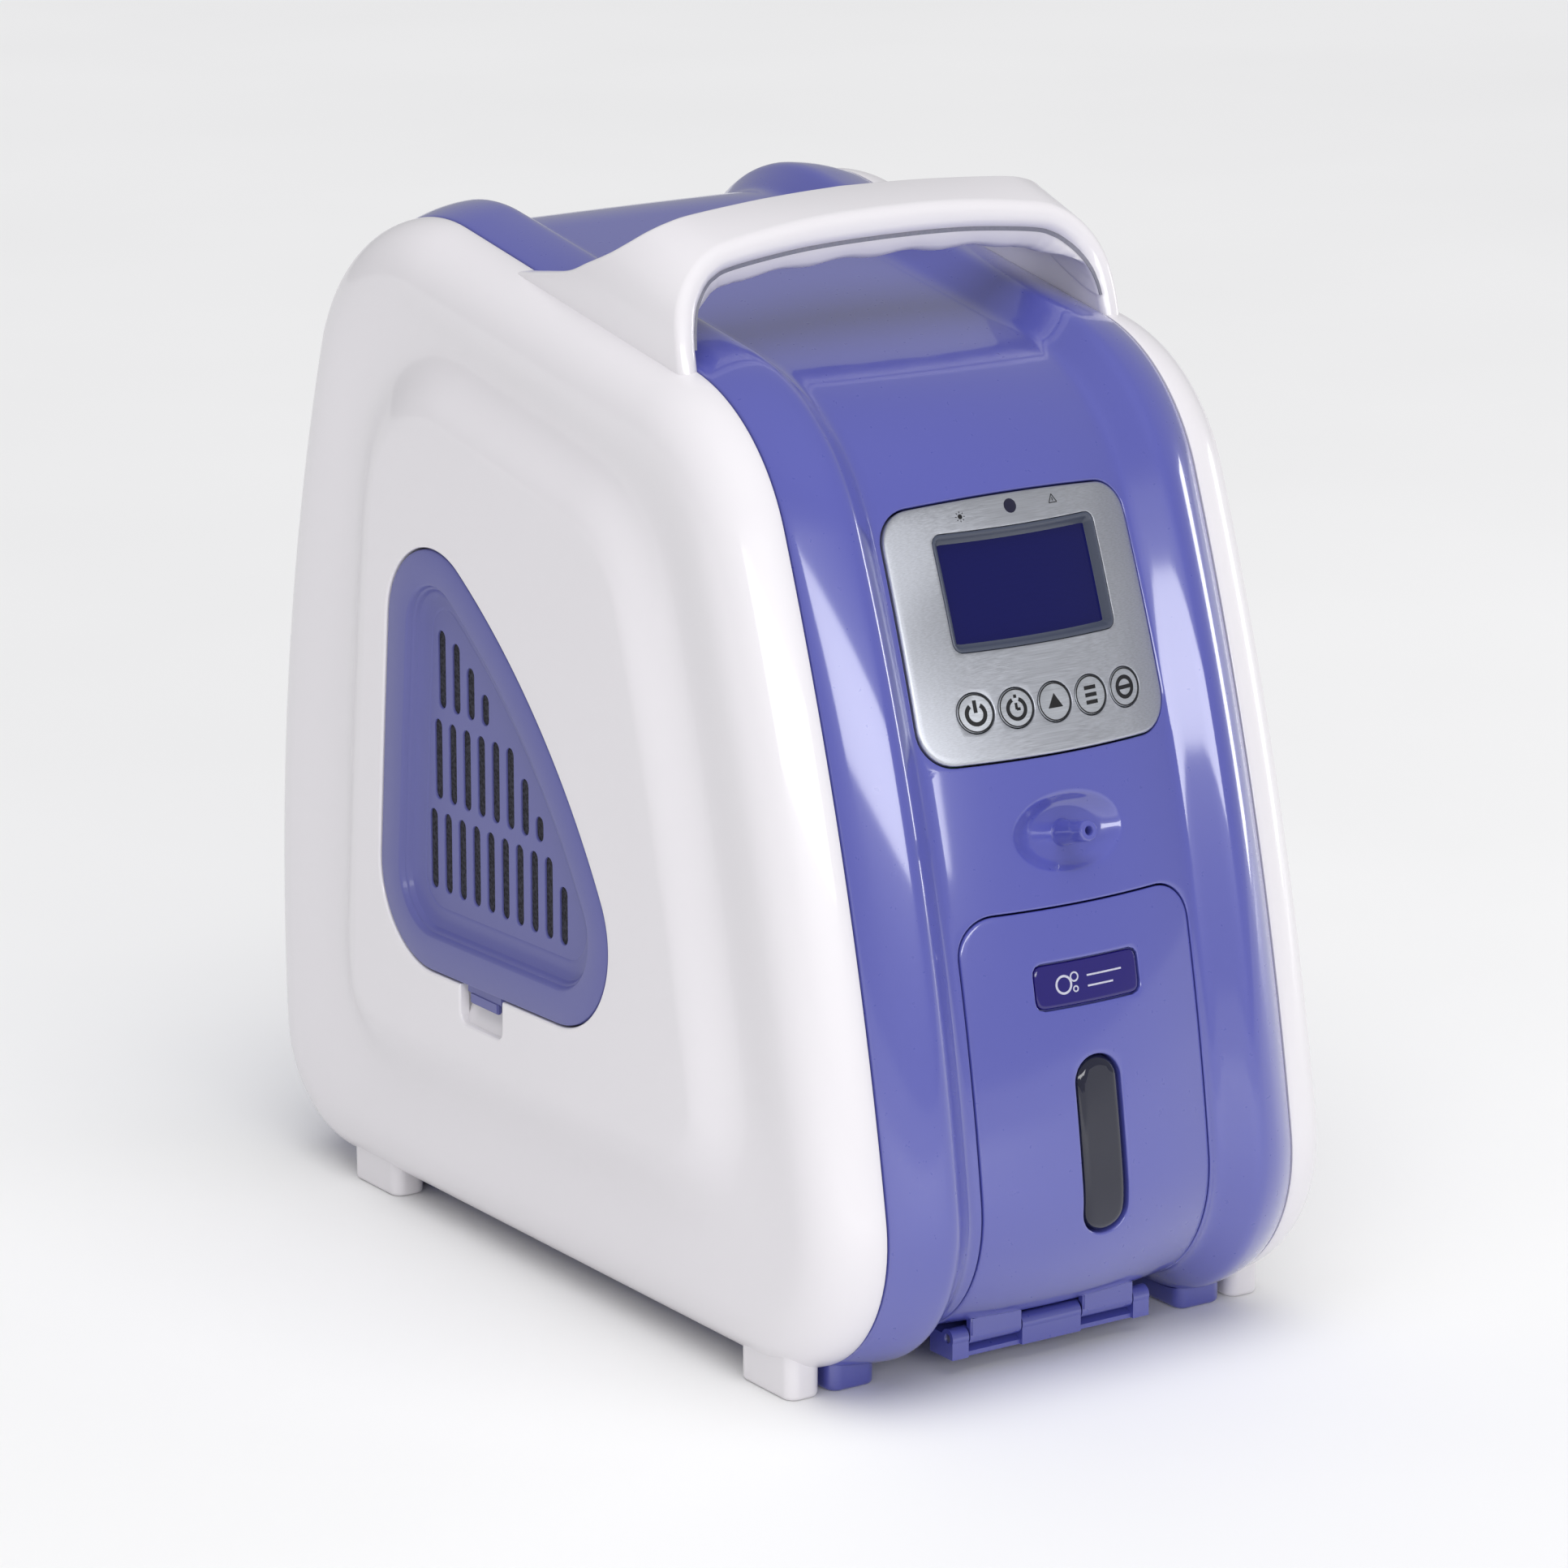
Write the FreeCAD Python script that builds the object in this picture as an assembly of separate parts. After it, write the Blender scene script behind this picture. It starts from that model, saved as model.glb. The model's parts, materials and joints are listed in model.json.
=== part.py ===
import FreeCAD, Part
import math
import os

# Household oxygen concentrator. Millimetres, +Z up, front towards -Y, origin on the table
# under the middle of the bounding box.

Vec = FreeCAD.Vector

# ---------------------------------------------------------------- driving dimensions
SEAM_X = 75.0            # white side cover meets the coloured core
CREST_X = 56.5           # rounded rails either side of the centre band
VALLEY_X = 46.5          # foot of the rails, where the centre band starts
CHANNEL = 8.0            # depth of the centre band below the rail crests
CROWN = 6.0              # how much the front of the centre band bulges forward again
SKIN = 3.0               # moulded wall of the core
COVER_WALL = 2.5         # moulded wall of the side covers
COVER_GAP = 0.4          # shadow line between cover and core
FACE_X = 95.0            # flat face of a side cover
PLATEAU_X = 101.0        # raised pillow on that face
EDGE_ROUND = 20.0        # roll of the cover edge, seam to face
GAP = 0.5                # gap round doors and panels

# Outlines are (y, z) or (x, z) as complex numbers, clockwise from the front-bottom (or
# left-bottom) corner: corners, outward bow of each side, radius of each rounded corner.
SEAM = ([-169.9 + 6j, -94.8 + 295.9j, 120.9 + 333.6j, 167.2 + 6j],
        [11.0, 0.05, 20.9, 0.05], [49.7, 63.2, 63.6, 42.0])
CREST = ([-176.2 + 6j, -101.0 + 300.3j, 124.3 + 337.2j, 166.2 + 6j],
         [15.3, 0.05, 21.0, 0.05], [52.3, 75.0, 66.0, 43.0])
PLATEAU = ([-115 + 53j, -60 + 262j, 94 + 291j, 118 + 51j],
           [5.0, 1.0, 4.0, 0.05], [32.0, 50.0, 50.0, 30.0])
FILTER = ([-64.2 + 93.4j, 74.2 + 243.8j, 86.7 + 90.2j], [22.7, 0.6, 0.05], [30.0, 27.7, 30.0])
PLATEAU_SLOPE = 9.0      # width of the plateau's sloping edge
LATCH_Y = 24.2           # thumb recess under the filter cover
LATCH_HALF = 12.0
LATCH_Z = (79.0, 96.0)
SLOT_HALF = 2.2          # stadium slots of the filter cover
SLOT_PITCH = 8.6
SLOT_RISE = 25.0
SLOT_ROWS = [(116.4, 58.6), (146.3, 55.0), (176.3, 52.2)]   # lowest point, and y of the rearmost slot

# Front panel, heights along Z on the centre band
BEZEL = ([-45 + 191j, -44 + 262.5j, 44 + 262.5j, 45 + 191j],
         [0.05, 2.5, 0.05, 0.05], [10.5, 10.5, 10.5, 10.5])
PANEL_Z = 228.0
KEY_X = [1.9 + 13.8 * step for step in range(-2, 3)]
KEY_NAMES = ["key_power", "key_timer", "key_up", "key_menu", "key_stop"]
KEY_Z = 205.3
KEY_RADIUS = 5.95
KEY_STROKE = 0.6
LCD_BOX = (-29.0, 30.5, 222.3, 256.0)
LCD_FRAME = 2.7
LENS_Z = 261.3
LENS_RADIUS = 2.6
BOARD_DEPTH = 10.0       # keypad board behind the crown of the panel
NOZZLE_Z = 168.0
NOZZLE_RADIUS = 3.25
NOZZLE_BORE = 1.3
DISH = (20.0, 12.0, 3.6)  # half width, half height and depth of the dish round the outlet

# Humidifier door
DOOR_HALF = 42.0
DOOR_TOP = 147.0
DOOR_ROUND = 12.0
DOOR_REAR_Y = -139.0     # the door wraps under the front and ends here
HINGE_Y, HINGE_Z = -139.0, 12.6
HINGE_PIN = 1.5
LIP_Z = 6.2              # underside of the lip that carries the hinge
KNUCKLE = 3.0
KNUCKLE_X = (11.5, 30.5)
BADGE = (-19.3, 19.3, 117.5, 131.5)
WINDOW = (-8.3, 8.3, 47.5, 102.5)

# Rear
REAR_HALF = 42.0
REAR_Z = (30.0, 284.0)
TUB = (-39.0, 39.0, 34.0, 68.0)   # recess for the mains inlet and switch
TUB_FLOOR_Y = 154.0
INLET_X, SWITCH_X, MAINS_Z = -20.0, 22.0, 51.0
SWITCH_TILT = 8.0        # the rocker rests tipped to its off side
PIVOT = 1.0              # radius of the rocker's trunnions
FAN_Z = 118.0
FAN_RADIUS = 43.0
VENT_Z = 196.0           # lowest of the cooling slots above the fan
SLOT_HEIGHT = 3.4
REAR_SCREWS = [(x, z) for x in (-36.0, 36.0) for z in (76.0, 270.0)]

# Carry handle
HANDLE_TOP = 344.8
# foot, end of the leg, shoulder, end of the bar and crown of each arch, as x and z
ARCH_OUTER = [(81.3, 285), (81.3, 306), (74.0, 326.5), (62.0, 335.8), (0, HANDLE_TOP)]
ARCH_SEAM = [(74.6, 285), (74.6, 304), (66.6, 323.2), (57.0, 329.4), (0, 334.0)]
ARCH_GRIP = [(73.6, 285), (73.6, 300), (67.1, 315.6), (50.0, 322.0), (0, 325.6)]

# Underside
TRAY_Y = (-112.0, 122.0)
FOOT_Y = [(-131.0, -103.0), (98.0, 126.0)]
FOOT_INNER_X = (57.0, 74.0)
FOOT_OUTER_X = (77.0, 89.0)
TRAY_SCREWS = [(x, y) for x in (-64.0, 64.0) for y in (-78.0, 5.0, 88.0)]

# Machinery inside
COMPRESSOR_Z = 84.0
COMPRESSOR_Y = 12.0
MOTOR_RADIUS = 38.0
BED_Z = 190.0            # height of the two sieve beds
BED_X = 33.0
BED_RADIUS = 24.0
COIL_Y = 109.5


# ---------------------------------------------------------------- outline geometry
def side_circles(outline):
    """Centre and radius of the large circle that each bowed side follows."""
    corners, bows, _ = outline
    circles = []
    for start, end, bow in zip(corners, corners[1:] + corners[:1], bows):
        chord = end - start
        outward = 1j * chord / abs(chord)
        radius = (abs(chord) ** 2 / 4 + bow ** 2) / (2 * bow)
        circles.append(((start + end) / 2 + outward * (bow - radius), radius))
    return circles


def round_centre(side_a, side_b, radius, corner):
    """Centre of the corner round that is tangent inside two side circles."""
    reach_a = side_a[1] - radius
    reach_b = side_b[1] - radius
    gap = side_b[0] - side_a[0]
    along = (reach_a ** 2 - reach_b ** 2 + abs(gap) ** 2) / (2 * abs(gap))
    aside = math.sqrt(reach_a ** 2 - along ** 2)
    options = [side_a[0] + gap / abs(gap) * complex(along, sign * aside) for sign in (1, -1)]
    return min(options, key=lambda point: abs(point - corner))


def on_circle(centre, radius, towards):
    """Point of a circle in the direction of another point."""
    return centre + (towards - centre) / abs(towards - centre) * radius


def outline_arcs(outline, inset=0.0):
    """Alternating corner rounds and sides, each as (start, middle, end)."""
    corners, _, radii = outline
    sides = side_circles(outline)
    count = len(corners)
    rounds = [round_centre(sides[i - 1], sides[i], radii[i], corners[i]) for i in range(count)]
    touch_in = []
    touch_out = []
    for i in range(count):
        centre_in, radius_in = sides[i - 1]
        centre_out, radius_out = sides[i]
        touch_in.append(on_circle(centre_in, radius_in - inset, rounds[i]))
        touch_out.append(on_circle(centre_out, radius_out - inset, rounds[i]))
    arcs = []
    for i in range(count):
        middle = on_circle(rounds[i], radii[i] - inset, rounds[i] + touch_in[i] + touch_out[i] - 2 * rounds[i])
        arcs.append((touch_in[i], middle, touch_out[i]))
        follow = (i + 1) % count
        centre, radius = sides[i]
        middle = on_circle(centre, radius - inset, (touch_out[i] + touch_in[follow]) / 2)
        arcs.append((touch_out[i], middle, touch_in[follow]))
    return arcs


def yz(x):
    """Map an outline point to the plane at this x."""
    return lambda point: Vec(x, point.real, point.imag)


def xz(y):
    """Map an outline point to the plane at this y."""
    return lambda point: Vec(point.real, y, point.imag)


def outline_wire(outline, plane, inset=0.0):
    """Closed wire of an outline, set in by a distance."""
    edges = []
    for start, middle, end in outline_arcs(outline, inset):
        edges.append(Part.Arc(plane(start), plane(middle), plane(end)).toShape())
    return Part.Wire(edges)


def ruled(wires):
    """Solid with straight rulings between matching wires."""
    return Part.makeLoft(wires, True, True)


def prism(outline, plane_at, start, end, inset=0.0):
    """Straight solid of an outline between two planes."""
    return ruled([outline_wire(outline, plane_at(at), inset) for at in (start, end)])


def rounded_box(x_low, x_high, z_low, z_high, radius):
    """Outline of a rounded rectangle in x and z."""
    corners = [complex(x_low, z_low), complex(x_low, z_high), complex(x_high, z_high), complex(x_high, z_low)]
    return (corners, [0.02] * 4, [radius] * 4)


def blend_outline(first, second, weight):
    """Outline part of the way from one to another."""
    return tuple([a + (b - a) * weight for a, b in zip(one, two)] for one, two in zip(first, second))


# ---------------------------------------------------------------- simple solids
def box(x, y, z):
    """Box from three (low, high) pairs."""
    return Part.makeBox(x[1] - x[0], y[1] - y[0], z[1] - z[0], Vec(x[0], y[0], z[0]))


def rod(radius, start, end):
    """Cylinder between two points."""
    start = Vec(*start)
    axis = Vec(*end) - start
    return Part.makeCylinder(radius, axis.Length, start, axis)


def pipe(radius, bore, start, end):
    """Tube between two points."""
    return rod(radius, start, end).cut(rod(bore, start, end))


def soft_box(x, y, z, radius):
    """Box with every edge rounded."""
    solid = box(x, y, z)
    return solid.makeFillet(radius, solid.Edges)


def join(shapes):
    """Union of touching or overlapping solids."""
    result = shapes[0]
    for shape in shapes[1:]:
        result = result.fuse(shape)
    return result.removeSplitter()


def group(shapes):
    """Separate solids kept in one piece of the assembly."""
    return Part.makeCompound(shapes)


def cut_all(shape, tools):
    """Shape less every tool."""
    for tool in tools:
        shape = shape.cut(tool)
    return shape


def mirror_x(shape):
    """Mirror image across the middle of the machine."""
    return shape.mirror(Vec(0, 0, 0), Vec(1, 0, 0))


# ---------------------------------------------------------------- core surface
def core_outline(x):
    """Outline of the core at this x, and its inset below the rail crest."""
    x = abs(x)
    if x >= CREST_X:
        rise = (x - CREST_X) / (SEAM_X - CREST_X)
        return blend_outline(CREST, SEAM, min(rise, 1.0) ** 2), 0.0
    if x >= VALLEY_X:
        return CREST, CHANNEL * (CREST_X - x) / (CREST_X - VALLEY_X)
    forward = CROWN * (1 - (x / VALLEY_X) ** 2)
    corners, bows, radii = CREST
    crowned = [corners[0] - forward, corners[1] - forward] + corners[2:]
    return (crowned, bows, radii), CHANNEL


CORE_STATIONS = [0.0, 12.0, 24.0, 36.0, VALLEY_X, CREST_X, 63.0, 69.0, SEAM_X]
core_cache = {}


def core(inset=0.0):
    """Solid bounded by the core surface set in by a distance; set in, it runs past the sides."""
    if inset not in core_cache:
        overrun = 0.0 if inset == 0 else 1.0
        wires = []
        for x in [-x for x in reversed(CORE_STATIONS[1:])] + CORE_STATIONS:
            outline, depth = core_outline(x)
            end = math.copysign(overrun, x) if abs(x) == SEAM_X else 0.0
            wires.append(outline_wire(outline, yz(x + end), depth + inset))
        core_cache[inset] = ruled(wires)
    return core_cache[inset]


def patch(region, outer, inner):
    """Piece of the core skin between two insets that lies inside a region."""
    return region.common(core(outer)).cut(core(inner))


def front_prism(outline, inset=0.0):
    """Region in front of the machine that an outline in x and z covers."""
    return prism(outline, xz, -200.0, -60.0, inset)


def front_frame(z):
    """Point, outward normal and upward tangent of the front surface at x = 0 and this height."""
    outline, depth = core_outline(0.0)
    centre, radius = side_circles(outline)[0]
    radius -= depth
    y = centre.real - math.sqrt(radius ** 2 - (z - centre.imag) ** 2)
    normal = (complex(y, z) - centre) / radius
    return Vec(0, y, z), Vec(0, normal.real, normal.imag), Vec(0, -normal.imag, normal.real) * -1


def on_panel(z, x, height, out):
    """Point beside, above and out from a point of the front surface."""
    origin, normal, up = front_frame(z)
    return origin + Vec(x, 0, 0) + up * height + normal * out


def panel_rod(z, x, radius, start, end):
    """Cylinder square to the front surface, from one distance out to another."""
    return rod(radius, on_panel(z, x, 0, start), on_panel(z, x, 0, end))


def panel_box(z, x, height, out):
    """Box square to the front surface from (low, high) pairs."""
    origin, normal, up = front_frame(z)
    base = origin + Vec(x[0], 0, 0) + up * height[0] + normal * out[0]
    placement = FreeCAD.Placement(base, FreeCAD.Rotation(Vec(1, 0, 0), up, normal, "XYZ"))
    solid = Part.makeBox(x[1] - x[0], height[1] - height[0], out[1] - out[0])
    solid.Placement = placement
    return solid


# ---------------------------------------------------------------- core shells
def door_region(grow=0.0):
    """Part of the centre band that the humidifier door fills."""
    half = DOOR_HALF + grow
    top = DOOR_TOP + grow
    outline = rounded_box(-half, half, -40.0, top, DOOR_ROUND)
    return prism(outline, xz, -200.0, DOOR_REAR_Y + grow)


def rear_region(grow=0.0):
    """Part of the back that the rear panel fills."""
    half = REAR_HALF + grow
    outline = rounded_box(-half, half, REAR_Z[0] - grow, REAR_Z[1] + grow, 14.0)
    return prism(outline, xz, 100.0, 200.0)


def tray_region(grow=0.0):
    """Part of the underside that the base tray fills."""
    return box((-90, 90), (TRAY_Y[0] - grow, TRAY_Y[1] + grow), (-5, 30))


def dish_loft(grow, top, bottom):
    """Elliptical funnel square to the outlet, between two distances out."""
    wires = []
    slope = DISH[2] / 7.0
    origin, normal, up = front_frame(NOZZLE_Z)
    for out in (top, bottom):
        spread = out / slope + grow
        ellipse = Part.Ellipse(Vec(0, 0, 0), DISH[0] + spread, DISH[1] + spread)
        wire = Part.Wire([ellipse.toShape()])
        turn = FreeCAD.Rotation(Vec(1, 0, 0), up, normal, "XYZ")
        wire.Placement = FreeCAD.Placement(origin + normal * out, turn)
        wires.append(wire)
    return Part.makeLoft(wires, True, True)


def core_shell():
    """Front, top and back skin of the core, with openings for everything set into it."""
    shell = core(0.0).cut(core(SKIN))
    boss = dish_loft(3.0, 0.0, -DISH[2] - SKIN).common(core(0.0))
    shell = shell.fuse(boss)
    bezel_hole = front_prism(BEZEL, -GAP)
    shell = cut_all(shell, [door_region(GAP), bezel_hole, rear_region(GAP), tray_region(0.3)])
    shell = shell.cut(dish_loft(0.0, 5.0, -DISH[2]))
    return shell.cut(panel_rod(NOZZLE_Z, 0, NOZZLE_RADIUS - 0.2, 5, -20))


def rear_slots():
    """Fan outlet slots inside a circle, and a row of cooling slots above."""
    slots = []
    for step in range(-6, 7):
        z = FAN_Z + step * 6.4
        half = math.sqrt(FAN_RADIUS ** 2 - (z - FAN_Z) ** 2) - 3.0
        slots.append(box((-half, half), (130, 200), (z - SLOT_HEIGHT / 2, z + SLOT_HEIGHT / 2)))
    for step in range(7):
        z = VENT_Z + step * 8.0
        slots.append(box((-30, 30), (100, 200), (z - SLOT_HEIGHT / 2, z + SLOT_HEIGHT / 2)))
    return slots


def rear_panel():
    """Removable back panel with vents and the recess for the mains parts."""
    panel = patch(rear_region(), 0.0, SKIN)
    low_x, high_x, low_z, high_z = TUB
    tub = box((low_x - 2, high_x + 2), (TUB_FLOOR_Y - SKIN, 190), (low_z - 2, high_z + 2)).common(core(0.0))
    panel = panel.fuse(tub.common(rear_region()))
    hollow = box((low_x, high_x), (TUB_FLOOR_Y, 200), (low_z, high_z))
    panel = cut_all(panel, [hollow] + rear_slots())
    inlet = box((INLET_X - 13.7, INLET_X + 13.7), (140, 160), (MAINS_Z - 10.1, MAINS_Z + 10.1))
    switch = box((SWITCH_X - 9.7, SWITCH_X + 9.7), (140, 160), (MAINS_Z - 6.8, MAINS_Z + 6.8))
    fuse = rod(5.2, (0.5, 140, MAINS_Z), (0.5, 160, MAINS_Z))
    panel = cut_all(panel, [inlet, switch, fuse])
    for x, z in REAR_SCREWS:
        panel = panel.cut(rod(1.7, (x, 100, z), (x, 200, z)))
    return panel


def rear_surface_y(x, z):
    """How far back the core surface reaches at this x and height."""
    ray = Part.makeLine(Vec(x, 100, z), Vec(x, 200, z))
    return ray.common(core(0.0)).BoundBox.YMax


def rear_screws():
    """Pan head screws that hold the rear panel."""
    screws = []
    for x, z in REAR_SCREWS:
        y = rear_surface_y(x, z)
        head = rod(3.0, (x, y - 1.0, z), (x, y + 2.2, z)).cut(core(-0.05))
        screws.append(join([head, rod(1.5, (x, y - 9, z), (x, y + 1.0, z))]))
    return group(screws)


def base_tray():
    """Bottom pan between the rails, with bosses for the feet and the screws."""
    tray = patch(tray_region(), 0.0, SKIN)
    for x, y in TRAY_SCREWS:
        tray = tray.cut(rod(1.7, (x, y, -5), (x, y, 30)))
        tray = tray.cut(rod(3.3, (x, y, -5), (x, y, 7.2)))
    for step in range(-4, 5):
        tray = tray.cut(box((-28, 28), (step * 9.0 - 1.8, step * 9.0 + 1.8), (0, 30)))
    return tray


def tray_screws():
    """Screws up through the base tray into the chassis plate."""
    screws = []
    for x, y in TRAY_SCREWS:
        screws.append(join([rod(3.0, (x, y, 5.6), (x, y, 7.2)), rod(1.5, (x, y, 7), (x, y, 23))]))
    return group(screws)


def foot_block(x, y):
    """Upright block with rounded vertical edges, cut to the shell above it by its caller."""
    block = box(x, y, (0, 24))
    upright = [edge for edge in block.Edges if abs(edge.tangentAt(edge.FirstParameter).z) > 0.9]
    block = block.makeFillet(4.0, upright)
    sole = [edge for edge in block.Edges if edge.BoundBox.ZMax < 0.1]
    return block.makeFillet(1.5, sole)


def core_feet():
    """Coloured half of each foot, under the rails."""
    feet = [foot_block(FOOT_INNER_X, y).cut(core(0.0)) for y in FOOT_Y]
    return group(feet + [mirror_x(foot) for foot in feet])


def cover_feet():
    """White half of each foot, under the side covers."""
    feet = [foot_block(FOOT_OUTER_X, y).cut(cover_block()) for y in FOOT_Y]
    return group(feet + [mirror_x(foot) for foot in feet])


# ---------------------------------------------------------------- side covers
def rolled_solid(wall):
    """Side cover form with its rolled edge, set in by a wall thickness."""
    start = SEAM_X + COVER_GAP - wall * 0.6
    depth = FACE_X - wall - SEAM_X - COVER_GAP
    wires = [outline_wire(SEAM, yz(start), wall)] if wall else []
    for step in range(7):
        turn = math.radians(15 * step)
        x = SEAM_X + COVER_GAP + depth * math.sin(turn)
        wires.append(outline_wire(SEAM, yz(x), wall + EDGE_ROUND * (1 - math.cos(turn)) * (1 - wall / 40)))
    return ruled(wires)


def plateau_solid(wall):
    """Raised pillow on the face of a side cover."""
    low = outline_wire(PLATEAU, yz(FACE_X - 4 - wall), wall)
    foot = outline_wire(PLATEAU, yz(FACE_X - wall), wall)
    top = outline_wire(PLATEAU, yz(PLATEAU_X - wall), wall + PLATEAU_SLOPE)
    return ruled([low, foot, top])


def cover_block():
    """Outside form of the right side cover as a full solid."""
    return rolled_solid(0.0).fuse(plateau_solid(0.0))


def latch_recess(grow=0.0):
    """Thumb recess below the filter cover."""
    y = (LATCH_Y - LATCH_HALF - grow, LATCH_Y + LATCH_HALF + grow)
    return box((FACE_X - 6 - grow, PLATEAU_X + 5), y, (LATCH_Z[0] - grow, LATCH_Z[1]))


def right_cover():
    """Side cover at +X: thin shell with a seat for the filter cover."""
    shell = cover_block()
    hollow = rolled_solid(COVER_WALL).fuse(plateau_solid(COVER_WALL))
    shell = shell.cut(hollow)
    seat = prism(FILTER, yz, FACE_X - 10, PLATEAU_X - 1, -2.6).common(cover_block())
    seat = seat.fuse(latch_recess(2.0).common(cover_block()))
    shell = shell.fuse(seat)
    shell = shell.cut(prism(FILTER, yz, FACE_X - 7.6, PLATEAU_X + 5, -GAP))
    shell = shell.cut(prism(FILTER, yz, FACE_X - 20, PLATEAU_X, 9.0))
    return shell.cut(latch_recess())


def stadium(x_low, x_high, y, z_low, z_high):
    """Upright slot with round ends, cut through between two x values."""
    low = z_low + SLOT_HALF
    high = z_high - SLOT_HALF
    slot = box((x_low, x_high), (y - SLOT_HALF, y + SLOT_HALF), (low, high))
    return join([slot, rod(SLOT_HALF, (x_low, y, low), (x_high, y, low)),
                 rod(SLOT_HALF, (x_low, y, high), (x_high, y, high))])


def filter_slots(x_low, x_high):
    """Three rows of upright slots, each kept below the sloping front edge."""
    floor = prism(FILTER, yz, x_low, x_high, 21.0)
    middle = (x_low + x_high) / 2
    slots = []
    for row_z, first_y in SLOT_ROWS:
        for column in range(11):
            y = first_y - column * SLOT_PITCH
            line = Part.makeLine(Vec(middle, y, row_z + SLOT_HALF), Vec(middle, y, row_z + SLOT_RISE))
            inside = line.common(floor)
            if inside.Length > SLOT_HALF:
                slots.append(stadium(x_low, x_high, y, row_z, inside.BoundBox.ZMax))
    return slots


def right_filter_cover():
    """Dished slotted cover over the right intake filter, with its spring latch."""
    flange_top = PLATEAU_X - 0.3
    body = prism(FILTER, yz, FACE_X + 0.4, flange_top)
    tray = ruled([outline_wire(FILTER, yz(flange_top + 1), 11.0), outline_wire(FILTER, yz(FACE_X + 2.2), 19.5)])
    body = cut_all(body.cut(tray), filter_slots(FACE_X - 2, FACE_X + 5))
    tongue = box((FACE_X - 2.6, FACE_X - 0.8), (LATCH_Y - 7, LATCH_Y + 7), (84.5, 93.4))
    stem = box((FACE_X - 2.6, FACE_X + 1), (LATCH_Y - 9, LATCH_Y + 9), (90.6, 94.4))
    return join([body, tongue, stem])


def right_filter_pad():
    """Foam dust filter behind the slotted cover."""
    pad = prism(FILTER, yz, FACE_X - 7.0, FACE_X - 0.2, 1.5)
    return pad.cut(box((FACE_X - 3.2, FACE_X), (LATCH_Y - 10, LATCH_Y + 10), (80, 96)))


# ---------------------------------------------------------------- carry handle
def arch_wire(points, y):
    """Closed front-view wire of the handle: legs, shoulder arcs and a bowed bar, mirrored."""
    foot, leg, shoulder, bar, crown = [complex(*point) for point in points]
    flip = [complex(-p.real, p.imag) for p in (foot, leg, shoulder, bar)]
    plane = xz(y)
    edges = [Part.makeLine(plane(foot), plane(leg)),
             Part.Arc(plane(leg), plane(shoulder), plane(bar)).toShape(),
             Part.Arc(plane(bar), plane(crown), plane(flip[3])).toShape(),
             Part.Arc(plane(flip[3]), plane(flip[2]), plane(flip[1])).toShape(),
             Part.makeLine(plane(flip[1]), plane(flip[0])),
             Part.makeLine(plane(flip[0]), plane(foot))]
    return Part.Wire(edges)


def arch(points, y_low, y_high):
    """Front-view arch as a solid between two planes."""
    return Part.Face(arch_wire(points, y_low)).extrude(Vec(0, y_high - y_low, 0))


def handle_profile(inset):
    """Side view of the handle: upright front, crowned top, swept-back legs."""
    front = -64.0 + inset
    points = [Vec(0, front, 290), Vec(0, -56.3 + inset, 331), Vec(0, -54.2 + inset, 339), Vec(0, -49.5, 343.0),
              Vec(0, -38, 345.5), Vec(0, -26.0 - inset, 345.5)]
    edges = [Part.makeLine(points[0], points[1]), Part.Arc(points[1], points[2], points[3]).toShape(),
             Part.makeLine(points[3], points[4]), Part.makeLine(points[4], points[5])]
    sweep_end = Vec(0, 36.0 - inset, 316.0)
    edges.append(Part.Arc(points[5], Vec(0, -9.0 - inset, 327.5), sweep_end).toShape())
    edges.append(Part.makeLine(sweep_end, Vec(0, 36.0 - inset, 290)))
    edges.append(Part.makeLine(Vec(0, 36.0 - inset, 290), points[0]))
    face = Part.Face(Part.Wire(edges))
    return face.extrude(Vec(200, 0, 0)).translated(Vec(-100, 0, 0))


def handle_shell():
    """White arch whose legs stand on the inner edges of the two side covers."""
    solid = arch(ARCH_OUTER, -80, 60).cut(arch(ARCH_SEAM, -81, 61))
    solid = solid.common(handle_profile(0.0))
    cover = cover_block()
    return cut_all(solid, [core(0.0), prism(SEAM, yz, -76, 76), cover, mirror_x(cover)])


def handle_grip():
    """Finger grip that closes the underside of the bar."""
    band = arch(ARCH_SEAM, -54.5, -31).cut(arch(ARCH_GRIP, -81, 41))
    band = band.common(box((-100, 100), (-80, 60), (309, 340)))
    scallops = [rod(9.0, (x, -62.5, z), (x, -20, z)) for x, z in
                [(-37.5, 314.4), (-12.5, 317.0), (12.5, 317.0), (37.5, 314.4)]]
    return cut_all(band, scallops)


# ---------------------------------------------------------------- control panel
def control_bezel():
    """Brushed plate round the display and the keys."""
    plate = patch(front_prism(BEZEL), -0.6, 2.0)
    x_low, x_high, z_low, z_high = LCD_BOX
    window = front_prism(rounded_box(x_low - 0.1, x_high + 0.1, z_low - 0.1, z_high + 0.1, 3.0))
    holes = [panel_rod(KEY_Z, x, KEY_RADIUS + 0.35, 8, -12) for x in KEY_X]
    lens = panel_rod(LENS_Z, 0, LENS_RADIUS + 0.1, 8, -12)
    return cut_all(plate, [window, lens] + holes)


def lcd_frame():
    """Stepped frame round the display glass."""
    x_low, x_high, z_low, z_high = LCD_BOX
    ring = patch(front_prism(rounded_box(x_low, x_high, z_low, z_high, 3.0)), -0.3, 2.6)
    return ring.cut(front_prism(rounded_box(x_low, x_high, z_low, z_high, 3.0 + LCD_FRAME), LCD_FRAME))


def lcd_window():
    """Dark display glass under the frame."""
    x_low, x_high, z_low, z_high = LCD_BOX
    return patch(front_prism(rounded_box(x_low + 0.3, x_high - 0.3, z_low + 0.3, z_high - 0.3, 2.7)), 2.7, 4.0)


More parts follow.
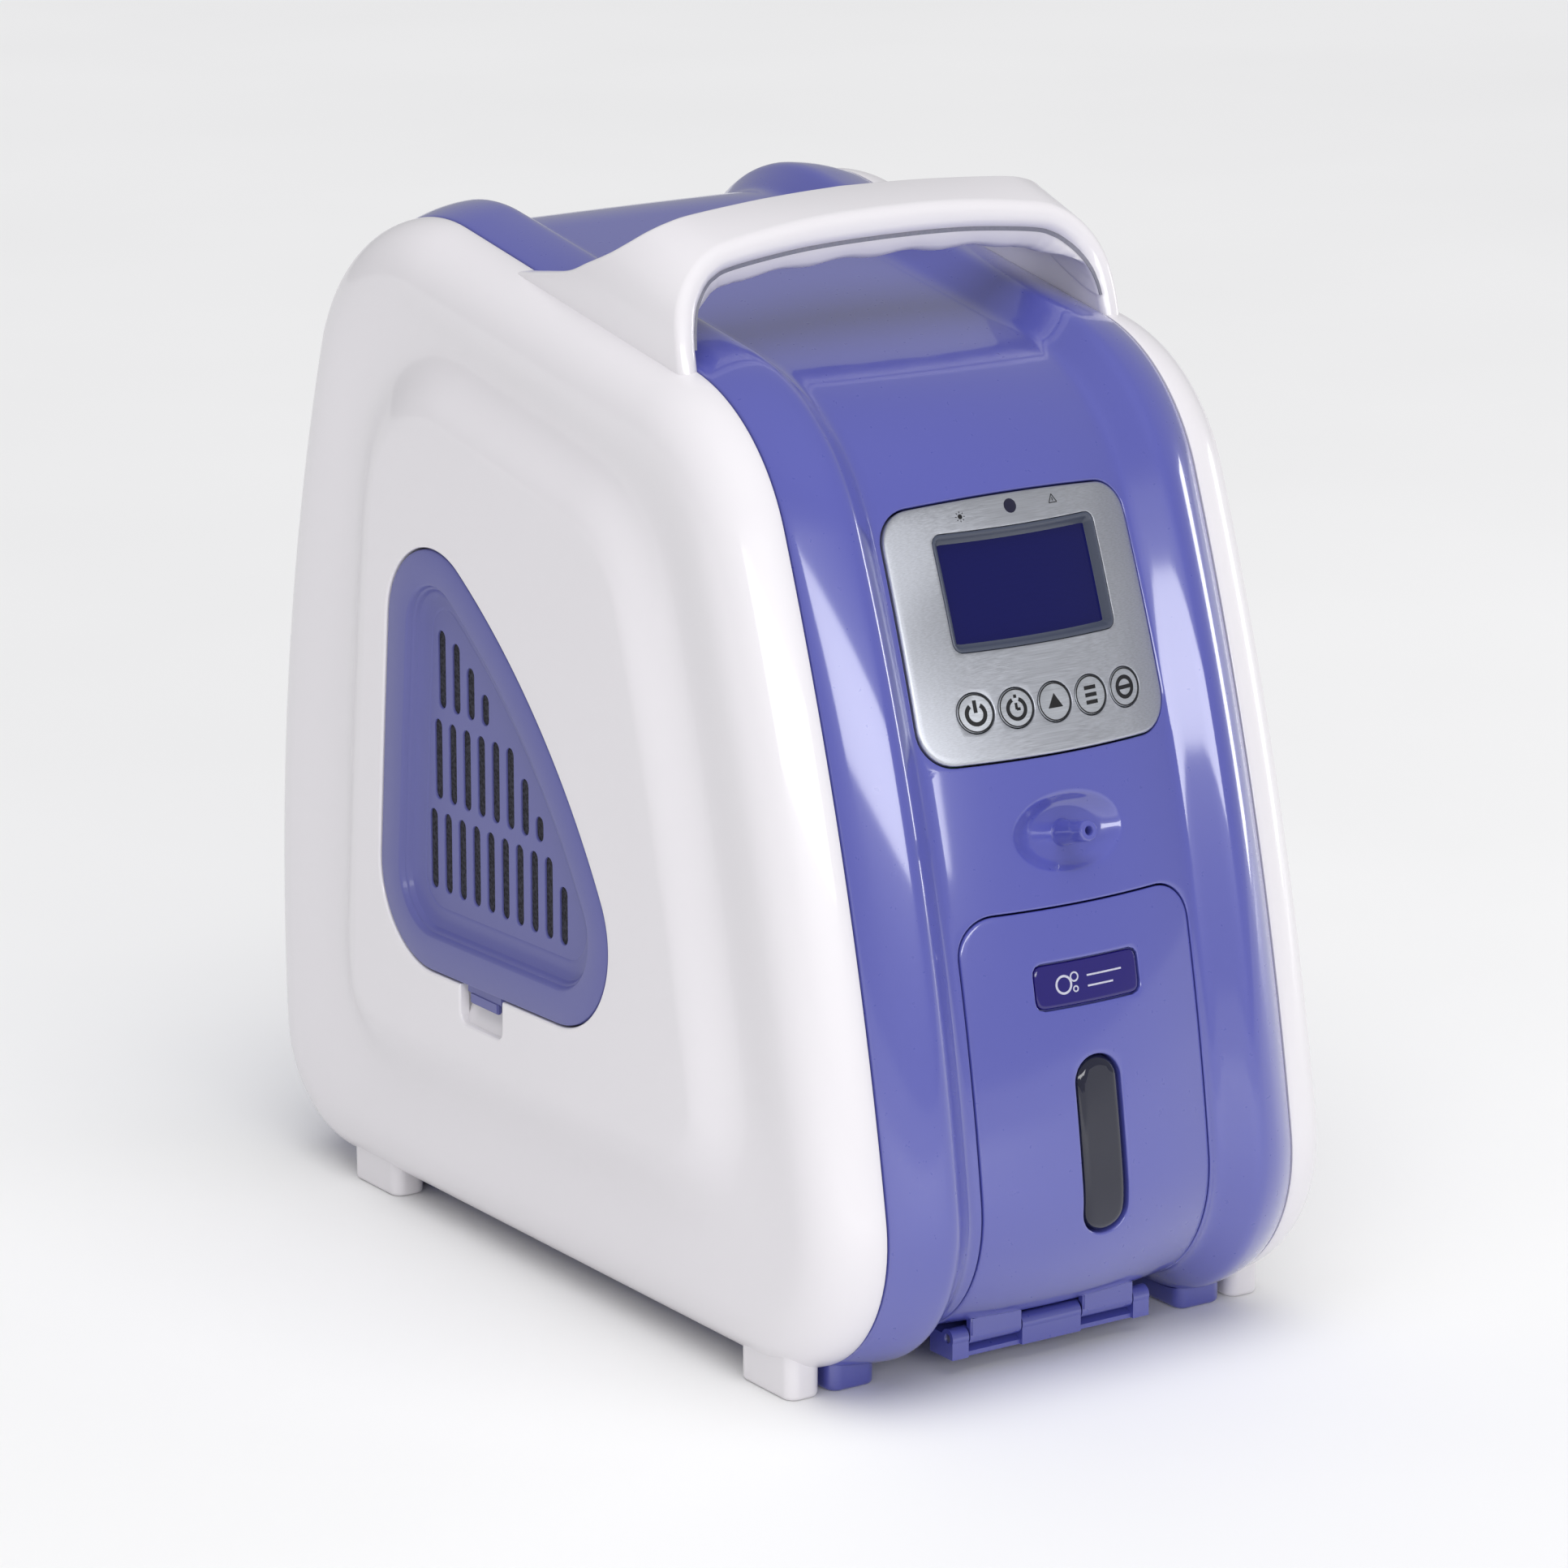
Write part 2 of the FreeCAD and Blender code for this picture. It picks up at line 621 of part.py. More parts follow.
def lcd_module():
    """Display glass sandwich and its metal clip behind the window."""
    x_low, x_high, _, _ = LCD_BOX
    return panel_box(PANEL_Z, (x_low + 1, x_high - 1), (-3.8, 27.2), (-9.7, -7.2))


def key(x):
    """Round key cap with its plunger."""
    cap = panel_rod(KEY_Z, x, KEY_RADIUS, 8, -6.0).common(core(-0.6))
    plunger = panel_rod(KEY_Z, x, 2.0, -5.9, -8.4)
    return join([cap, plunger])


def keypad_board():
    """Circuit board behind the panel with a dome switch under each key."""
    board = panel_box(PANEL_Z, (-41, 41), (-38, 34), (-BOARD_DEPTH - 1.6, -BOARD_DEPTH))
    origin, normal, _ = front_frame(PANEL_Z)
    pieces = [board]
    for x in KEY_X:
        centre = on_panel(KEY_Z, x, 0, 0)
        lift = (centre - origin).dot(normal) + BOARD_DEPTH
        top = centre - normal * lift
        pieces.append(rod(3.0, top - normal * 0.1, top + normal * 0.35))
    return join(pieces)


def status_lens():
    """Round dark lens at the top of the panel."""
    return panel_rod(LENS_Z, 0, LENS_RADIUS, 2, -4.0).common(core(-0.4))


def outlet_nozzle():
    """Tapered oxygen outlet with a straight hose spigot and an inner hose tail."""
    origin, normal, _ = front_frame(NOZZLE_Z)
    floor = origin - normal * DISH[2]
    cone = Part.makeCone(4.15, NOZZLE_RADIUS, 4.6, floor, normal)
    spigot = panel_rod(NOZZLE_Z, 0, NOZZLE_RADIUS, 1.0, 9.6)
    tip = Part.makeCone(NOZZLE_RADIUS, NOZZLE_RADIUS - 0.5, 0.5, origin + normal * 9.6, normal)
    tail = panel_rod(NOZZLE_Z, 0, NOZZLE_RADIUS - 0.4, -DISH[2], -16.0)
    return join([cone, spigot, tip, tail]).cut(panel_rod(NOZZLE_Z, 0, NOZZLE_BORE, 12, -20))


# ---------------------------------------------------------------- humidifier
def hinge_rod(radius, x_low, x_high):
    """Cylinder on the door's hinge axis."""
    return rod(radius, (x_low, HINGE_Y, HINGE_Z), (x_high, HINGE_Y, HINGE_Z))


def humidifier_door():
    """Curved door that wraps under the front, with two hinge knuckles at its lower edge."""
    door = patch(door_region(), 0.0, SKIN)
    badge = front_prism(rounded_box(*BADGE, 3.0))
    window = front_prism(rounded_box(*WINDOW, 8.0))
    ledge = patch(front_prism(rounded_box(*WINDOW, 8.0), -1.6), 2.0, SKIN)
    door = door.cut(window).cut(badge.common(core(0.0)).cut(core(1.6))).cut(ledge)
    for low, high in (KNUCKLE_X, (-KNUCKLE_X[1], -KNUCKLE_X[0])):
        arm = box((low, high), (HINGE_Y - 3, HINGE_Y), (HINGE_Z, 18.0))
        door = door.fuse(hinge_rod(KNUCKLE, low, high)).fuse(arm)
    return door.removeSplitter().cut(hinge_rod(HINGE_PIN + 0.08, -60, 60))


def door_window():
    """Smoked sight glass for the water level, held on a ledge behind the door."""
    pane = patch(front_prism(rounded_box(*WINDOW, 8.0), 0.15), 0.9, 2.4)
    rim = patch(front_prism(rounded_box(*WINDOW, 8.0), -1.4), 2.1, SKIN)
    return join([pane, rim])


def door_badge():
    """Domed badge in the door's recess."""
    return patch(front_prism(rounded_box(*BADGE, 3.0), 0.15), 0.2, 1.5)


def hinge_bracket():
    """Lip under the front edge: three lugs for the hinge pin, with a sloped pocket floor between them."""
    front = HINGE_Y - 1.6
    pieces = [box((-37, 37), (-134.5, -114.5), (10.8, 13.7))]
    for low, high in ((-37.0, -31.0), (-11.0, 11.0), (31.0, 37.0)):
        pieces.append(hinge_rod(KNUCKLE, low, high))
        pieces.append(box((low, high), (front - 1.2, -130), (LIP_Z, 13.7)))
    slope = Part.makePolygon([Vec(-36, front, LIP_Z), Vec(-36, front, LIP_Z + 1.4), Vec(-36, -131, 11.6),
                              Vec(-36, -129, 11.6), Vec(-36, -129, 10.8), Vec(-36, front + 2.0, LIP_Z),
                              Vec(-36, front, LIP_Z)])
    pieces.append(Part.Face(slope).extrude(Vec(72, 0, 0)))
    return join(pieces).cut(hinge_rod(HINGE_PIN + 0.02, -60, 60))


def hinge_pin():
    """Steel pin of the door hinge."""
    return hinge_rod(HINGE_PIN, -36.5, 36.5)


def humidifier_bay():
    """Open-fronted pocket that holds the bottle."""
    pocket = box((-40.5, 40.5), (-137.0, -88.0), (21.0, 150.0))
    pocket = pocket.cut(box((-38.5, 38.5), (-140, -90.0), (23.0, 148.0)))
    for x in (-12.0, 12.0):
        pocket = pocket.cut(rod(5.4, (x, -112, 145), (x, -112, 155)))
    return pocket


def bottle_form(inset):
    """Rounded block of the humidifier bottle, set in by its wall."""
    return soft_box((-31 + inset, 31 - inset), (-133 + inset, -97 - inset), (23.5 + inset, 126.0 + inset), 7.0)


def humidifier_bottle():
    """Clear water bottle with an open neck rim."""
    below = box((-60, 60), (-160, -60), (0, 112.0))
    return bottle_form(0.0).common(below).cut(bottle_form(2.0))


def humidifier_lid():
    """Lid with its two spigots and the bubble tube that hangs in the bottle."""
    cap = soft_box((-32.5, 32.5), (-134.5, -95.5), (112.3, 124.0), 3.0)
    plug = box((-26.5, 26.5), (-128.5, -101.5), (109.0, 113.5))
    pieces = [cap, plug]
    for x in (-12.0, 12.0):
        pieces.append(rod(3.4, (x, -112, 123), (x, -112, 140)))
    pieces.append(rod(3.0, (12, -112, 36), (12, -112, 113)))
    bores = [rod(1.6, (-12, -112, 100), (-12, -112, 145)), rod(1.6, (12, -112, 30), (12, -112, 145))]
    return cut_all(join(pieces), bores)


# ---------------------------------------------------------------- air and oxygen circuit
def along_y(radius, low, high, x=0.0, z=COMPRESSOR_Z):
    """Cylinder parallel to Y."""
    return rod(radius, (x, low, z), (x, high, z))


def compressor_housing():
    """Motor barrel with a crankcase at each end."""
    low, high = COMPRESSOR_Y - 86, COMPRESSOR_Y + 86
    barrel = along_y(MOTOR_RADIUS, low + 40, high - 40)
    cases = [box((-36, 36), (low, low + 42), (COMPRESSOR_Z - 36, COMPRESSOR_Z + 34)),
             box((-36, 36), (high - 42, high), (COMPRESSOR_Z - 36, COMPRESSOR_Z + 34))]
    solid = join([barrel] + cases)
    hollow = [along_y(MOTOR_RADIUS - 4, low + 46, high - 46),
              box((-31, 31), (low + 4, low + 37), (COMPRESSOR_Z - 31, COMPRESSOR_Z + 40)),
              box((-31, 31), (high - 37, high - 4), (COMPRESSOR_Z - 31, COMPRESSOR_Z + 40)),
              along_y(9.0, low + 30, high - 30)]
    return cut_all(solid, hollow)


def cylinder_heads():
    """Finned cylinder and head on each crankcase."""
    heads = []
    for centre in (COMPRESSOR_Y - 65.5, COMPRESSOR_Y + 65.5):
        bottom = COMPRESSOR_Z + 34.3
        barrel = rod(18.9, (0, centre, bottom), (0, centre, bottom + 26))
        fin_levels = [bottom + 4 + 5 * step for step in range(4)]
        fins = [box((-27, 27), (centre - 19, centre + 19), (z, z + 2.2)) for z in fin_levels]
        flange = box((-33, 33), (centre - 19, centre + 19), (bottom, bottom + 3))
        cap = box((-27, 27), (centre - 19, centre + 19), (bottom + 22.5, bottom + 34))
        head = join([barrel, flange, cap] + fins)
        heads.append(head.cut(rod(16.9, (0, centre, bottom - 5), (0, centre, bottom + 28))))
    return group(heads)


def compressor_rotor():
    """Motor rotor, shaft and the two eccentrics that drive the pistons."""
    low, high = COMPRESSOR_Y - 86, COMPRESSOR_Y + 86
    pieces = [along_y(24, low + 52, high - 52), along_y(6, low + 8, high - 8)]
    for start in (low + 14, high - 26):
        pieces.append(rod(10, (0, start, COMPRESSOR_Z + 3), (0, start + 12, COMPRESSOR_Z + 3)))
    return join(pieces)


def stator():
    """Laminated stator inside the motor barrel."""
    return along_y(MOTOR_RADIUS - 4.2, COMPRESSOR_Y - 30, COMPRESSOR_Y + 30).cut(
        along_y(24.8, COMPRESSOR_Y - 31, COMPRESSOR_Y + 31))


def pistons():
    """Rocking pistons with their rods, whose big ends clear the turning eccentrics."""
    shapes = []
    for start in (COMPRESSOR_Y - 70.5, COMPRESSOR_Y + 60.5):
        ring = rod(18, (0, start, COMPRESSOR_Z), (0, start + 10, COMPRESSOR_Z))
        ring = ring.cut(rod(14, (0, start - 1, COMPRESSOR_Z), (0, start + 11, COMPRESSOR_Z)))
        arm = box((-4, 4), (start, start + 10), (COMPRESSOR_Z + 16, COMPRESSOR_Z + 48))
        disc = rod(16.6, (0, start + 5, COMPRESSOR_Z + 47), (0, start + 5, COMPRESSOR_Z + 52))
        shapes.append(join([ring, arm, disc]))
    return group(shapes)


def compressor_mounts():
    """Rubber bushes under the crankcases."""
    mounts = []
    for x in (-28.0, 28.0):
        for y in (COMPRESSOR_Y - 66, COMPRESSOR_Y + 66):
            top = COMPRESSOR_Z - 36
            body = Part.makeCone(8.5, 6.5, (top - 20) / 2, Vec(x, y, 20), Vec(0, 0, 1))
            crown = Part.makeCone(6.5, 8.5, (top - 20) / 2, Vec(x, y, 20 + (top - 20) / 2), Vec(0, 0, 1))
            mounts.append(join([body, crown]))
    return group(mounts)


def chassis_plate():
    """Steel plate that carries the compressor and the fan."""
    plate = box((-68, 68), (-86, 118), (18.0, 20.0))
    for x, y in TRAY_SCREWS:
        plate = plate.cut(rod(1.7, (x, y, 0), (x, y, 30)))
    return plate


def canister(x, z, radius, low, high):
    """Pressure vessel lying along Y with flanged end caps."""
    pieces = [along_y(radius, low, high, x, z), along_y(radius + 2.5, low, low + 9, x, z),
              along_y(radius + 2.5, high - 9, high, x, z), along_y(4, low - 6, low + 1, x, z),
              along_y(4, high - 1, high + 6, x, z)]
    return join(pieces).cut(along_y(radius - 2, low + 6, high - 6, x, z))


def valve_manifold():
    """Block that switches air between the beds, with its coils on top."""
    block = box((-58, 58), (-104, -86), (172, 206))
    ports = [along_y(4.2, -92, -80, x, BED_Z) for x in (-BED_X, BED_X)]
    return cut_all(block, ports)


def solenoids():
    """Coils of the four way valve."""
    return group([rod(10, (x, -95, 206.2), (x, -95, 232)) for x in (-42.0, -14.0, 14.0, 42.0)])


def intake_muffler():
    """Silencer in the air intake."""
    body = rod(13, (56, 60, 122), (56, 60, 156)).fuse(rod(5, (56, 60, 156), (56, 60, 163)))
    return body.removeSplitter().cut(rod(11, (56, 60, 125), (56, 60, 153)))


def hepa_filter():
    """Round fine filter before the muffler."""
    body = rod(17, (52, -30, 128), (52, -30, 152)).fuse(rod(5, (52, -30, 152), (52, -30, 160)))
    return body.removeSplitter().cut(rod(14, (52, -30, 131), (52, -30, 149)))


def cooling_coil():
    """Copper coil of straight runs and return bends in the fan's air stream."""
    edges = []
    runs = 6
    pitch = 11.0
    for step in range(runs):
        z = FAN_Z - pitch * (runs - 1) / 2 + step * pitch
        side = 1 if step % 2 == 0 else -1
        edges.append(Part.makeLine(Vec(-26 * side, COIL_Y, z), Vec(26 * side, COIL_Y, z)))
        if step < runs - 1:
            bend = Part.Arc(Vec(26 * side, COIL_Y, z), Vec((26 + pitch / 2) * side, COIL_Y, z + pitch / 2),
                            Vec(26 * side, COIL_Y, z + pitch))
            edges.append(bend.toShape())
    path = Part.Wire(edges)
    start = path.Edges[0].valueAt(path.Edges[0].FirstParameter)
    section = Part.Wire([Part.makeCircle(3.0, start, Vec(1, 0, 0))])
    return path.makePipeShell([section], True, False)


def fan_frame():
    """Square fan frame with four spokes that carry the motor."""
    y = (115.0, 138.0)
    frame = box((-46, 46), y, (FAN_Z - 46, FAN_Z + 46)).cut(along_y(44, 110, 145, 0, FAN_Z))
    hub = along_y(17, 115.0, 119.0, 0, FAN_Z)
    arms = []
    for turn in (45, 135, 225, 315):
        arm = box((14, 46), (115.0, 118.0), (-2.5, 2.5))
        arms.append(arm.rotated(Vec(0, 0, 0), Vec(0, 1, 0), turn).translated(Vec(0, 0, FAN_Z)))
    solid = join([frame, hub] + arms)
    return solid.cut(along_y(2.05, 110, 145, 0, FAN_Z))


def fan_impeller():
    """Hub with seven twisted blades and its shaft."""
    hub = along_y(18, 121.0, 136.5, 0, FAN_Z).fuse(along_y(2.0, 115.5, 122, 0, FAN_Z))
    pieces = [hub]
    for step in range(7):
        blade = box((16, 42.2), (-1.2, 1.2), (-9.5, 9.5))
        blade = blade.rotated(Vec(0, 0, 0), Vec(1, 0, 0), 52)
        blade = blade.rotated(Vec(0, 0, 0), Vec(0, 1, 0), step * 360 / 7)
        pieces.append(blade.translated(Vec(0, 128.5, FAN_Z)))
    return join(pieces)


def control_board():
    """Main controller board with its larger components."""
    board = box((-69.5, -67.9), (-50, 60), (100, 165))
    parts = [box((-67.9, -60), (y, y + 18), (z, z + 14)) for y in (-44, -18, 10, 36) for z in (106, 142)]
    return join([board] + parts)


def power_supply():
    """Mains converter board with a finned heat sink."""
    board = box((66.0, 67.6), (-78, 100), (62, 118))
    sink = [box((52, 66), (y, y + 2.5), (70, 110)) for y in range(-60, 90, 12)]
    return join([board] + sink)


def hose(points, radius, bend):
    """Flexible hose along straight runs joined by bends of one radius."""
    points = [Vec(*point) for point in points]
    edges = []
    start = points[0]
    for before, corner, after in zip(points, points[1:], points[2:]):
        back = (before - corner).normalize()
        on = (after - corner).normalize()
        half = back.getAngle(on) / 2
        reach = bend / math.tan(half)
        first = corner + back * reach
        last = corner + on * reach
        middle_way = (back + on).normalize()
        middle = corner + middle_way * (bend / math.sin(half) - bend)
        edges.append(Part.makeLine(start, first))
        edges.append(Part.Arc(first, middle, last).toShape())
        start = last
    edges.append(Part.makeLine(start, points[-1]))
    path = Part.Wire(edges)
    section = Part.Wire([Part.makeCircle(radius, points[0], points[1] - points[0])])
    return path.makePipeShell([section], True, False)


def internal_hoses():
    """Hoses from the compressor to the beds and from the tank to the outlet."""
    tail = on_panel(NOZZLE_Z, 0, 0, -16.2)
    inner = on_panel(NOZZLE_Z, 0, 0, -30.0)
    outlet = hose([tuple(tail), tuple(inner), (-12, -112, 152), (-12, -112, 141)], 3.2, 5.0)
    feed = hose([(12, -112, 141), (12, -112, 156), (64, -112, 156), (64, -112, 246),
                 (64, -80, 246)], 3.2, 6.0)
    return group([outlet, feed])


# ---------------------------------------------------------------- mains parts
def power_inlet():
    """Three pin appliance inlet."""
    floor = TUB_FLOOR_Y
    body = box((INLET_X - 13.5, INLET_X + 13.5), (floor - 22, floor + 0.1), (MAINS_Z - 9.9, MAINS_Z + 9.9))
    flange = box((INLET_X - 15.5, INLET_X + 15.5), (floor + 0.1, floor + 2.6), (MAINS_Z - 12, MAINS_Z + 12))
    socket = box((INLET_X - 12.2, INLET_X + 12.2), (floor - 16, floor + 5), (MAINS_Z - 8.2, MAINS_Z + 8.2))
    solid = body.fuse(flange).removeSplitter().cut(socket)
    blades = [box((INLET_X + x - 1, INLET_X + x + 1), (floor - 17, floor - 1), (MAINS_Z + z - 2, MAINS_Z + z + 2))
              for x, z in ((-7, -1.5), (7, -1.5), (0, 2.5))]
    return join([solid] + blades)


def switch_frame():
    """Snap-in frame of the power switch."""
    floor = TUB_FLOOR_Y
    body = box((SWITCH_X - 9.5, SWITCH_X + 9.5), (floor - 16, floor + 0.1), (MAINS_Z - 6.6, MAINS_Z + 6.6))
    flange = box((SWITCH_X - 10.8, SWITCH_X + 10.8), (floor + 0.1, floor + 2.0), (MAINS_Z - 8, MAINS_Z + 8))
    well = box((SWITCH_X - 8.2, SWITCH_X + 8.2), (floor - 11, floor + 5), (MAINS_Z - 5.6, MAINS_Z + 5.6))
    pivot = rod(PIVOT + 0.08, (SWITCH_X - 9.1, floor, MAINS_Z), (SWITCH_X + 9.1, floor, MAINS_Z))
    return body.fuse(flange).removeSplitter().cut(well).cut(pivot)


def switch_rocker():
    """Rocker that turns about the X axis in the switch frame."""
    floor = TUB_FLOOR_Y
    x = (SWITCH_X - 7.8, SWITCH_X + 7.8)
    block = box(x, (floor - 4.5, floor + 4.5), (MAINS_Z - 4.6, MAINS_Z + 4.6))
    dish = rod(14.0, (x[0] - 1, floor + 17.0, MAINS_Z), (x[1] + 1, floor + 17.0, MAINS_Z))
    pivot = rod(PIVOT, (SWITCH_X - 8.9, floor, MAINS_Z), (SWITCH_X + 8.9, floor, MAINS_Z))
    rocker = block.cut(dish).fuse(pivot)
    return rocker.rotate(Vec(0, floor, MAINS_Z), Vec(1, 0, 0), -SWITCH_TILT)


def fuse_holder():
    """Panel fuse holder with a slotted cap."""
    floor = TUB_FLOOR_Y
    body = rod(5.0, (0.5, floor - 26, MAINS_Z), (0.5, floor + 0.1, MAINS_Z))
    cap = rod(3.5, (0.5, floor + 0.1, MAINS_Z), (0.5, floor + 7, MAINS_Z))
    slot = box((-4, 5), (floor + 5.8, floor + 8), (MAINS_Z - 0.6, MAINS_Z + 0.6))
    return join([body, cap]).cut(slot)


# ---------------------------------------------------------------- assembly
def build():
    """Every sub-part by name."""
    cover = right_cover()
    filter_cover = right_filter_cover()
    filter_pad = right_filter_pad()
    parts = {
        "core_shell": core_shell(),
        "rear_panel": rear_panel(),
        "base_tray": base_tray(),
        "cover_right": cover,
        "cover_left": mirror_x(cover),
        "filter_cover_right": filter_cover,
        "filter_cover_left": mirror_x(filter_cover),
        "filter_pad_right": filter_pad,
        "filter_pad_left": mirror_x(filter_pad),
        "core_feet": core_feet(),
        "cover_feet": cover_feet(),
        "handle_shell": handle_shell(),
        "handle_grip": handle_grip(),
        "control_bezel": control_bezel(),
        "lcd_frame": lcd_frame(),
        "lcd_window": lcd_window(),
        "lcd_module": lcd_module(),
        "keypad_board": keypad_board(),
        "status_lens": status_lens(),
        "outlet_nozzle": outlet_nozzle(),
        "humidifier_door": humidifier_door(),
        "door_window": door_window(),
        "door_badge": door_badge(),
        "door_hinge_bracket": hinge_bracket(),
        "door_hinge_pin": hinge_pin(),
        "humidifier_bay": humidifier_bay(),
        "humidifier_bottle": humidifier_bottle(),
        "humidifier_lid": humidifier_lid(),
        "chassis_plate": chassis_plate(),
        "compressor_housing": compressor_housing(),
        "cylinder_heads": cylinder_heads(),
        "compressor_rotor": compressor_rotor(),
        "compressor_stator": stator(),
        "compressor_pistons": pistons(),
        "compressor_mounts": compressor_mounts(),
        "sieve_bed_left": canister(-BED_X, BED_Z, BED_RADIUS, -78.0, 96.0),
        "sieve_bed_right": canister(BED_X, BED_Z, BED_RADIUS, -78.0, 96.0),
        "oxygen_tank": canister(0.0, 250.0, 24.0, -70.0, 80.0),
        "valve_manifold": valve_manifold(),
        "valve_solenoids": solenoids(),
        "intake_muffler": intake_muffler(),
        "hepa_filter": hepa_filter(),
        "cooling_coil": cooling_coil(),
        "fan_frame": fan_frame(),
        "fan_impeller": fan_impeller(),
        "control_board": control_board(),
        "power_supply": power_supply(),
        "internal_hoses": internal_hoses(),
        "power_inlet": power_inlet(),
        "power_switch_frame": switch_frame(),
        "power_switch_rocker": switch_rocker(),
        "fuse_holder": fuse_holder(),
        "rear_screws": rear_screws(),
        "tray_screws": tray_screws(),
    }
    for name, x in zip(KEY_NAMES, KEY_X):
        parts[name] = key(x)
    return parts


def main():
    os.makedirs("parts", exist_ok=True)
    for name, shape in build().items():
        shape.exportStep("parts/" + name + ".step")


if __name__ == "__main__":
    main()
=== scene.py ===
import json
import math
from collections import namedtuple
import bpy
import bmesh
import numpy as np
from mathutils import Matrix, Vector


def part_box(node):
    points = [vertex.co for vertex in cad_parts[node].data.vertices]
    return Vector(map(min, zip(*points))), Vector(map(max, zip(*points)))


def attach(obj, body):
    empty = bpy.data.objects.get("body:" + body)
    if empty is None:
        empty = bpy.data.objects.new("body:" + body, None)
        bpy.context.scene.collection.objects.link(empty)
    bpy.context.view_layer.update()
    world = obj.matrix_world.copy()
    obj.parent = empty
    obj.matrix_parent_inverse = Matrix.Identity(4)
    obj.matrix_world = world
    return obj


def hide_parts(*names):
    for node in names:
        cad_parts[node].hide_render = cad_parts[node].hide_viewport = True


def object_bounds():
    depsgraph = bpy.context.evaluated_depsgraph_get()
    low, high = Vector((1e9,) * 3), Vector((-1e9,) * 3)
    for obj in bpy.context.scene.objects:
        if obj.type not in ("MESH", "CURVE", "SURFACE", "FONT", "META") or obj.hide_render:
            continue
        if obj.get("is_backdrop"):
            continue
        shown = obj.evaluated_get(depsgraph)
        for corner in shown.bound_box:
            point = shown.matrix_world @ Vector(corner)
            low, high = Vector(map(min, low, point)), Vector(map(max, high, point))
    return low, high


# Looks of the oxygen concentrator. Lengths in this script are millimetres until a mesh is made.

MM = 0.001
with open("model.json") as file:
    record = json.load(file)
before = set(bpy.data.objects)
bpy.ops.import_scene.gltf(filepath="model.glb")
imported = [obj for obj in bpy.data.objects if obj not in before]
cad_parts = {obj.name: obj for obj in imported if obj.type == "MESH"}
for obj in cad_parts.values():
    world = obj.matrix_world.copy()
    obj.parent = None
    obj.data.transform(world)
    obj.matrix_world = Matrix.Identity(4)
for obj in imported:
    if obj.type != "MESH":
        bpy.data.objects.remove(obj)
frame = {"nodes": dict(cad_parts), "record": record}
nodes = frame["nodes"]
cad_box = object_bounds()

# ---------------------------------------------------------------- sizes shared with the design
SEAM_X = 75.0
CREST_X = 56.5
VALLEY_X = 46.5
CHANNEL = 8.0
CROWN = 6.0
COVER_GAP = 0.5
FACE_X = 95.0
PLATEAU_X = 101.0
EDGE_ROUND = 20.0
PILLOW_FOOT = 7.0       # outside the plateau outline
PILLOW_BROW = 16.0      # inside it
HOLLOW = 2.0
GAP = 0.5
GAP_SINK = 1.6          # drop of an opening's rim
SEAM_ROLL = 0.6
WALL = 2.6
PANEL_PROUD = 0.6

SEAM = ([-169.9 + 6j, -94.8 + 295.9j, 120.9 + 333.6j, 167.2 + 6j],
        [11.0, 0.05, 20.9, 0.05], [49.7, 63.2, 63.6, 42.0])
CREST = ([-176.2 + 6j, -101.0 + 300.3j, 124.3 + 337.2j, 166.2 + 6j],
         [15.3, 0.05, 21.0, 0.05], [52.3, 75.0, 66.0, 43.0])
PLATEAU = ([-115 + 53j, -60 + 262j, 94 + 291j, 118 + 51j],
           [5.0, 1.0, 4.0, 0.05], [32.0, 50.0, 50.0, 30.0])
FILTER = ([-64.2 + 93.4j, 74.2 + 243.8j, 86.7 + 90.2j], [22.7, 0.6, 0.05], [30.0, 27.7, 30.0])
BEZEL = ([-45 + 191j, -44 + 262.5j, 44 + 262.5j, 45 + 191j],
         [0.05, 2.5, 0.05, 0.05], [10.5, 10.5, 10.5, 10.5])

DOOR_HALF = 42.0
DOOR_TOP = 147.0
DOOR_BOTTOM = 17.2
DOOR_ROUND = 12.0
DOOR_FOOT_ROUND = 3.0
BADGE = (-19.3, 19.3, 117.5, 131.5)
WINDOW = (-8.3, 8.3, 47.5, 102.5)
LCD = (-29.0, 30.5, 222.3, 256.0)
LCD_ROUND = 3.0
KEY_X = [1.9 + 13.8 * step for step in range(-2, 3)]
KEY_NAMES = ["key_power", "key_timer", "key_up", "key_menu", "key_stop"]
KEY_Z = 205.3
KEY_RADIUS = 5.95
LENS_Z = 261.3
LENS_RADIUS = 2.6
NOZZLE_Z = 168.0
DISH = (19.5, 11.6, 3.6)
BORE_HOLE = 3.3
BORE = 1.3
SPIGOT_TIP = 10.1
SPIGOT_ROOT = 14.0
REAR_HALF = 42.0
REAR_Z = (30.0, 284.0)
REAR_ROUND = 14.0
TRAY_Y = (-112.0, 122.0)
LATCH_Y = 24.2
LATCH_HALF = 12.0
LATCH_LOW = 79.0
HINGE_Y, HINGE_Z = -139.0, 12.6
KNUCKLE_X = (11.5, 30.5)
KNUCKLE = 3.0
PIN_HOLE = 1.6
WATER_LEVEL = 62.0
SLOT_HALF = 2.2
SLOT_PITCH = 8.5
SLOT_RISE = 26.0
SLOT_TRIM = 27.0
SLOT_COLUMNS = 11
SLOT_ROWS = [(116.0, 60.0), (145.9, 56.6), (175.9, 53.9)]
SMOOTH_ANGLE = 40.0
HANDLE_SMOOTH = 50.0
WELD = 0.00001          # metres
CONTOUR_STEP = 0.8


